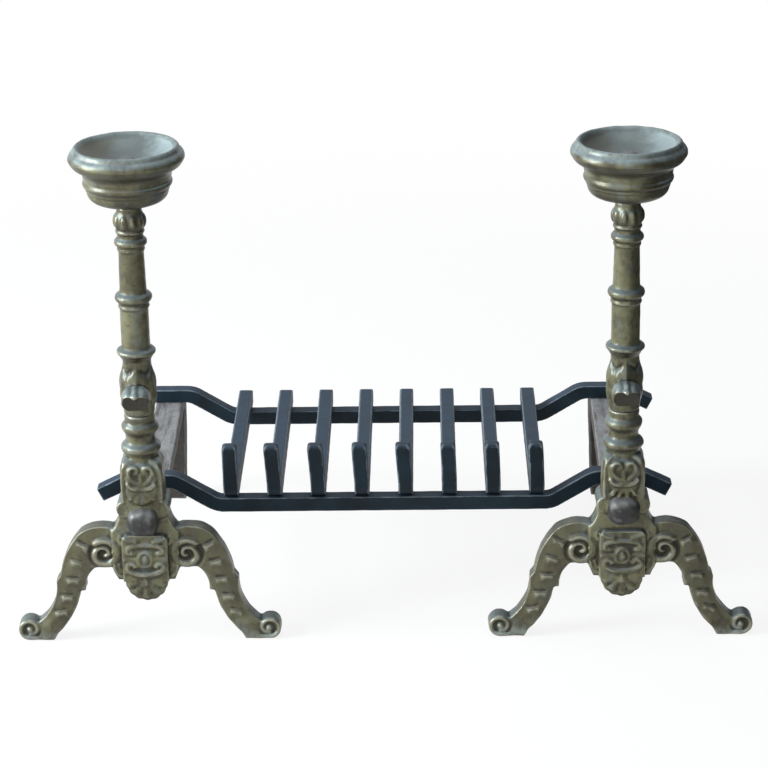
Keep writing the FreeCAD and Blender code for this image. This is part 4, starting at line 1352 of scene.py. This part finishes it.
class AndironFinishes(bpy.types.PropertyGroup):
    """Colours of the finishes."""

    bronze_olive: colour("Bronze olive", "Main tone of the castings", (0.146, 0.143, 0.080))
    # Brown that also paints shade on the dish's left side and on the spit rest's end.
    bronze_brown_and_shade: colour("Bronze brown", "Browner patches of the castings", (0.074, 0.068, 0.040))
    # Dark of dirt, also used as painted shade in hollows and on what faces down.
    bronze_dirt_and_shade: colour("Bronze recess", "Dirt in the hollows", (0.020, 0.017, 0.010))
    # Blue-grey that also paints a sky reflection on what faces up.
    bronze_bloom_and_sheen: colour("Bronze bloom", "Blue-grey bloom on what faces up", (0.118, 0.155, 0.170))
    # Pale colour that also paints light on the dish's right side and the spit rest's back, and a reflection
    # on the cup rims.
    bronze_chalk_and_highlight: colour("Bronze chalk", "Pale bloom on cups, rims and feet", (0.32, 0.395, 0.41))
    bronze_worn: colour("Bronze worn", "Worn edges", (0.34, 0.335, 0.26))
    # Grey of rubbed iron, also used as painted light on the tops of the bars and nuts.
    iron_rubbed_and_lit_grey: colour("Iron grey", "Rubbed forged iron", (0.295, 0.303, 0.315))
    iron_dark: colour("Iron dark", "Scale on forged iron", (0.028, 0.027, 0.026))
    iron_rust: colour("Iron rust", "Brown rust", (0.052, 0.040, 0.032))
    nut_dark: colour("Nut dark", "Hammered nuts", (0.022, 0.022, 0.021))
    grate_black: colour("Grate black", "Paint of the grate", (0.005, 0.011, 0.016))
    grate_blue: colour("Grate blue", "Bluer patches of the paint", (0.007, 0.018, 0.028))
    # Slate of dusty tops, also a painted sky reflection on them.
    grate_slate_dust_and_sheen: colour("Grate slate", "Dusty tops of the bars", (0.045, 0.072, 0.110))
    grate_worn: colour("Grate worn", "Worn edges of the bars", (0.20, 0.24, 0.28))


class AndironStudio(bpy.types.PropertyGroup):
    """Light and floor."""

    floor: colour("Floor", "Colour of the floor", (0.94, 0.94, 0.94))
    key_power: bpy.props.FloatProperty(
        name="Key light", description="Large soft light from the left", default=150, min=0, unit="POWER")
    top_power: bpy.props.FloatProperty(
        name="Top light", description="Soft light from above", default=17, min=0, unit="POWER")
    fill_power: bpy.props.FloatProperty(
        name="Fill light", description="Weak light from the front", default=17, min=0, unit="POWER")
    ambient: bpy.props.FloatProperty(
        name="Room light", description="Even light from all sides", default=0.27, min=0, max=1)
    shadow_share: bpy.props.FloatProperty(
        name="Floor shadow", description="Share of the floor that takes shadow", default=0.14, min=0, max=1)


# Operators


class ANDIRONS_OT_base_castings(bpy.types.Operator):
    """Scrolled legs, plinth and pedestal of both andirons"""

    bl_idname = "andirons.base_castings"
    bl_label = "Base castings"

    def execute(self, context):
        for hand in HANDS:
            mesh = base_mesh(hand, context.scene.andiron_shapes)
            andiron_piece(hand, "base", mesh, "base_casting", "aged_bronze")
        return {"FINISHED"}


class ANDIRONS_OT_columns(bpy.types.Operator):
    """Turned columns with leaves, knop and spit rest"""

    bl_idname = "andirons.columns"
    bl_label = "Columns"

    def execute(self, context):
        for hand in HANDS:
            mesh = column_mesh(hand, context.scene.andiron_shapes)
            andiron_piece(hand, "shaft", mesh, "column", "aged_bronze")
        return {"FINISHED"}


class ANDIRONS_OT_cups(bpy.types.Operator):
    """Open cups with rolled rims"""

    bl_idname = "andirons.cups"
    bl_label = "Cups"

    def execute(self, context):
        for hand in HANDS:
            mesh = cup_mesh(hand, context.scene.andiron_shapes)
            andiron_piece(hand, "cup_shell", mesh, "cup", "aged_bronze")
        return {"FINISHED"}


class ANDIRONS_OT_tie_rods(bpy.types.Operator):
    """Tie rods with their riveted ends in the cups"""

    bl_idname = "andirons.tie_rods"
    bl_label = "Tie rods"

    def execute(self, context):
        for hand in HANDS:
            mesh = scaled(turned(hand + "_rivet_skin", drawn(RIVET_TURNING, BAND_STEP), RIVET_SIDES), hand)
            finish_skin(Skin(mesh), RIVET_STEP * MM)
            andiron_piece(hand, "rivet", mesh, "tie_rod", "nut_iron")
        return {"FINISHED"}


class ANDIRONS_OT_billet_bars(bpy.types.Operator):
    """Forged billet bars and their hammered nuts"""

    bl_idname = "andirons.billet_bars"
    bl_label = "Billet bars and nuts"

    def execute(self, context):
        shapes = context.scene.andiron_shapes
        for number, hand in enumerate(HANDS):
            solid = cad_copy(hand + "_billet_bar")
            bar = cast_skin(hand + "_bar", [solid], "billet_bar", number, shapes.bar_step)
            andiron_piece(hand, "bar", bar, "billet_bar", "billet_iron")
            step = shapes.skin_step * NUT_FINENESS
            nut = cast_skin(hand + "_nut", [nut_mesh(hand)], "billet_nut", number, step)
            andiron_piece(hand, "nut", nut, "billet_nut", "nut_iron")
        return {"FINISHED"}


class ANDIRONS_OT_cross_bars(bpy.types.Operator):
    """Bent cross bars of the grate"""

    bl_idname = "andirons.cross_bars"
    bl_label = "Cross bars"

    def execute(self, context):
        step = context.scene.andiron_shapes.bar_step
        for number, place in enumerate(BAR_PLACES):
            node = place + "_cross_bar"
            mesh = cast_skin(place + "_bar", [cad_copy(node)], "cross_bar", number, step)
            grate_piece(place + "_bar", mesh, node)
        return {"FINISHED"}


class ANDIRONS_OT_slats(bpy.types.Operator):
    """Slats with upturned finger ends"""

    bl_idname = "andirons.slats"
    bl_label = "Slats"

    def execute(self, context):
        step = context.scene.andiron_shapes.bar_step
        for number in range(SLATS):
            node = "slat_" + str(number + 1)
            mesh = cast_skin(node + "_bar", [cad_copy(node)], "slat", number, step)
            grate_piece(node + "_bar", mesh, node)
        return {"FINISHED"}


class ANDIRONS_OT_welds(bpy.types.Operator):
    """Weld beads that hold the slats to the cross bars"""

    bl_idname = "andirons.welds"
    bl_label = "Welds"

    def execute(self, context):
        values = {"Bead": context.scene.andiron_shapes.weld_bead, "Material": finish_of("grate_black")}
        for number, place in enumerate(BAR_PLACES):
            node = place + "_welds"
            beads = bead_tree().grown(bead_lines(node), values)
            mesh = cast_skin(place + "_beads", [cad_copy(node), beads], "weld", number, WELD_STEP * MM)
            grate_piece(place + "_beads", mesh, node)
        return {"FINISHED"}


# Studio

FOCAL_PIXELS = 2653.3
FRAME_PIXELS = 768
CAMERA_PLACE = (0.0457, -2.700, 1.2758)
CAMERA_PITCH = math.radians(21.3)
CAMERA_YAW = math.radians(-0.961)
CAMERA_ROLL = math.radians(-0.924)
SENSOR = 36.0
WHITE = (1.0, 1.0, 1.0, 1.0)
ROOM_TINT = (0.92, 0.97, 1.0, 1.0)
ROOM_LEAN = 0.25
# Distances from the middle of the floor between which its shadow fades out
SHADOW_REACH = (0.7, 1.9)
# Front, back, side and top of the dark card
FLAG_CARD = (-1.0, 0.9, 0.62, 1.1)
FLAG_COLOUR = (0.05, 0.05, 0.055, 1.0)
# Half width of the floor, and how far it lies under the feet
FLOOR_HALF = 9.0
FLOOR_DROP = 0.0005
# Name, place, size and tint of the lights, and the point that they look at
LIGHTS = [
    ("key", (-2.6, -0.75, 1.25), (1.2, 1.6), (0.93, 0.98, 1.0)),
    ("top", (0.1, 0.2, 2.6), (1.8, 1.4), (0.95, 0.98, 1.0)),
    ("fill", (-0.6, -3.2, 1.5), (1.4, 1.4), (1.0, 0.98, 0.94)),
]
LIGHT_TARGET = (0, 0, 0.25)


def add_camera(scene):
    """Camera at the photograph's place and angle."""
    level = math.cos(CAMERA_PITCH)
    ahead = Vector((math.sin(CAMERA_YAW) * level, math.cos(CAMERA_YAW) * level, -math.sin(CAMERA_PITCH)))
    right = Vector((math.cos(CAMERA_YAW), -math.sin(CAMERA_YAW), 0))
    up = right.cross(ahead)
    turned_right = math.cos(CAMERA_ROLL) * right + math.sin(CAMERA_ROLL) * up
    turned_up = math.cos(CAMERA_ROLL) * up - math.sin(CAMERA_ROLL) * right
    data = bpy.data.cameras.new("view")
    data.sensor_width = SENSOR
    data.lens = FOCAL_PIXELS / FRAME_PIXELS * SENSOR
    camera = new_object("view", data)
    place = Matrix((turned_right, turned_up, -ahead)).transposed().to_4x4()
    place.translation = CAMERA_PLACE
    camera.matrix_world = place
    scene.camera = camera


def add_softbox(name, place, size, tint, power):
    """Large soft light that looks at the object."""
    data = bpy.data.lights.new(name, "AREA")
    data.shape = "RECTANGLE"
    data.size, data.size_y = size
    data.energy = power
    data.color = tint
    light = new_object(name, data)
    light.location = place
    light.rotation_euler = (Vector(LIGHT_TARGET) - Vector(place)).to_track_quat("-Z", "Y").to_euler()


def card(name, corners, material):
    """Flat card or floor."""
    mesh = bpy.data.meshes.new(name)
    mesh.from_pydata(corners, [], [(0, 1, 2, 3)])
    mesh.materials.append(material)
    return new_object(name, mesh)


def add_flag():
    """Dark card close to the right side, unseen by the camera, that shades that side as a dim room does."""
    front, back, side, top = FLAG_CARD
    finish = Finish(bpy.data.materials.new("studio_flag"))
    dark = finish.done({"Base Color": FLAG_COLOUR, "Specular IOR Level": 0.0})
    flag = card("flag", [(side, front, 0), (side, back, 0), (side, back, top), (side, front, top)], dark)
    flag.visible_camera = False
    flag.visible_shadow = False


def studio_world(studio):
    """White to the camera and in reflections, dim and cool as light, and dimmer from the right."""
    finish = Finish(bpy.data.worlds.new("studio"))
    across = finish.node("ShaderNodeSeparateXYZ", {}, {"Vector": finish.place("Generated")}, "X")
    strength = (1 - across * ROOM_LEAN) * studio.ambient
    room = finish.node("ShaderNodeBackground", {}, {"Color": ROOM_TINT, "Strength": strength})
    white = finish.node("ShaderNodeBackground", {}, {"Color": WHITE, "Strength": 1.0})
    finish.node("ShaderNodeOutputWorld", {}, {"Surface": finish.mixed(finish.seen_directly(), room, white)})
    return finish.holder


def floor_material(studio):
    """Pale floor that shows white to the camera and keeps a faint shadow round the object."""
    finish = Finish(bpy.data.materials.new("studio_floor"))
    paint = finish.node("ShaderNodeBsdfDiffuse", {}, {"Color": (*studio.floor, 1)})
    white = finish.node("ShaderNodeEmission", {}, {"Color": WHITE, "Strength": 1.0})
    away = finish.node("ShaderNodeVectorMath", {"operation": "LENGTH"}, {0: finish.place()}, "Value")
    shadow = (1 - finish.between(away, *SHADOW_REACH)) * studio.shadow_share
    shown = finish.mixed(finish.seen_directly() * (1 - shadow), paint, white)
    finish.node("ShaderNodeOutputMaterial", {}, {"Surface": shown})
    return finish.holder


class ANDIRONS_OT_studio(bpy.types.Operator):
    """Floor, soft light and camera"""

    bl_idname = "andirons.studio"
    bl_label = "Studio"

    def execute(self, context):
        scene = context.scene
        studio = scene.andiron_studio
        scene.view_settings.view_transform = "Standard"
        half = FLOOR_HALF
        corners = [(-half, -half, 0), (half, -half, 0), (half, half, 0), (-half, half, 0)]
        floor = card("floor", corners, floor_material(studio))
        floor.location.z = -FLOOR_DROP
        for light in LIGHTS:
            add_softbox(*light, getattr(studio, light[0] + "_power"))
        add_flag()
        scene.world = studio_world(studio)
        add_camera(scene)
        return {"FINISHED"}


STEPS = (
    ANDIRONS_OT_base_castings, ANDIRONS_OT_columns, ANDIRONS_OT_cups, ANDIRONS_OT_tie_rods,
    ANDIRONS_OT_billet_bars, ANDIRONS_OT_cross_bars, ANDIRONS_OT_slats, ANDIRONS_OT_welds, ANDIRONS_OT_studio,
)
GROUPS = {
    "andiron_shapes": AndironShapes, "andiron_finishes": AndironFinishes, "andiron_studio": AndironStudio,
}


class ANDIRONS_PT_panel(bpy.types.Panel):
    """Settings and steps of the andirons"""

    bl_label = "Andirons and grate"
    bl_idname = "ANDIRONS_PT_panel"
    bl_space_type = "VIEW_3D"
    bl_region_type = "UI"
    bl_category = "Andirons"

    def draw(self, context):
        for title, group in GROUPS.items():
            box = self.layout.box()
            for key in group.__annotations__:
                box.prop(getattr(context.scene, title), key)
        for step in STEPS:
            self.layout.operator(step.bl_idname)


CLASSES = (*GROUPS.values(), *STEPS, ANDIRONS_PT_panel)


def register():
    for kind in CLASSES:
        bpy.utils.register_class(kind)
    for title, group in GROUPS.items():
        setattr(bpy.types.Scene, title, bpy.props.PointerProperty(type=group))


def unregister():
    for title in GROUPS:
        delattr(bpy.types.Scene, title)
    for kind in reversed(CLASSES):
        bpy.utils.unregister_class(kind)


def main():
    register()
    bpy.ops.andirons.base_castings()
    bpy.ops.andirons.columns()
    bpy.ops.andirons.cups()
    bpy.ops.andirons.tie_rods()
    bpy.ops.andirons.billet_bars()
    bpy.ops.andirons.cross_bars()
    bpy.ops.andirons.slats()
    bpy.ops.andirons.welds()
    bpy.ops.andirons.studio()


if __name__ == "__main__":
    main()
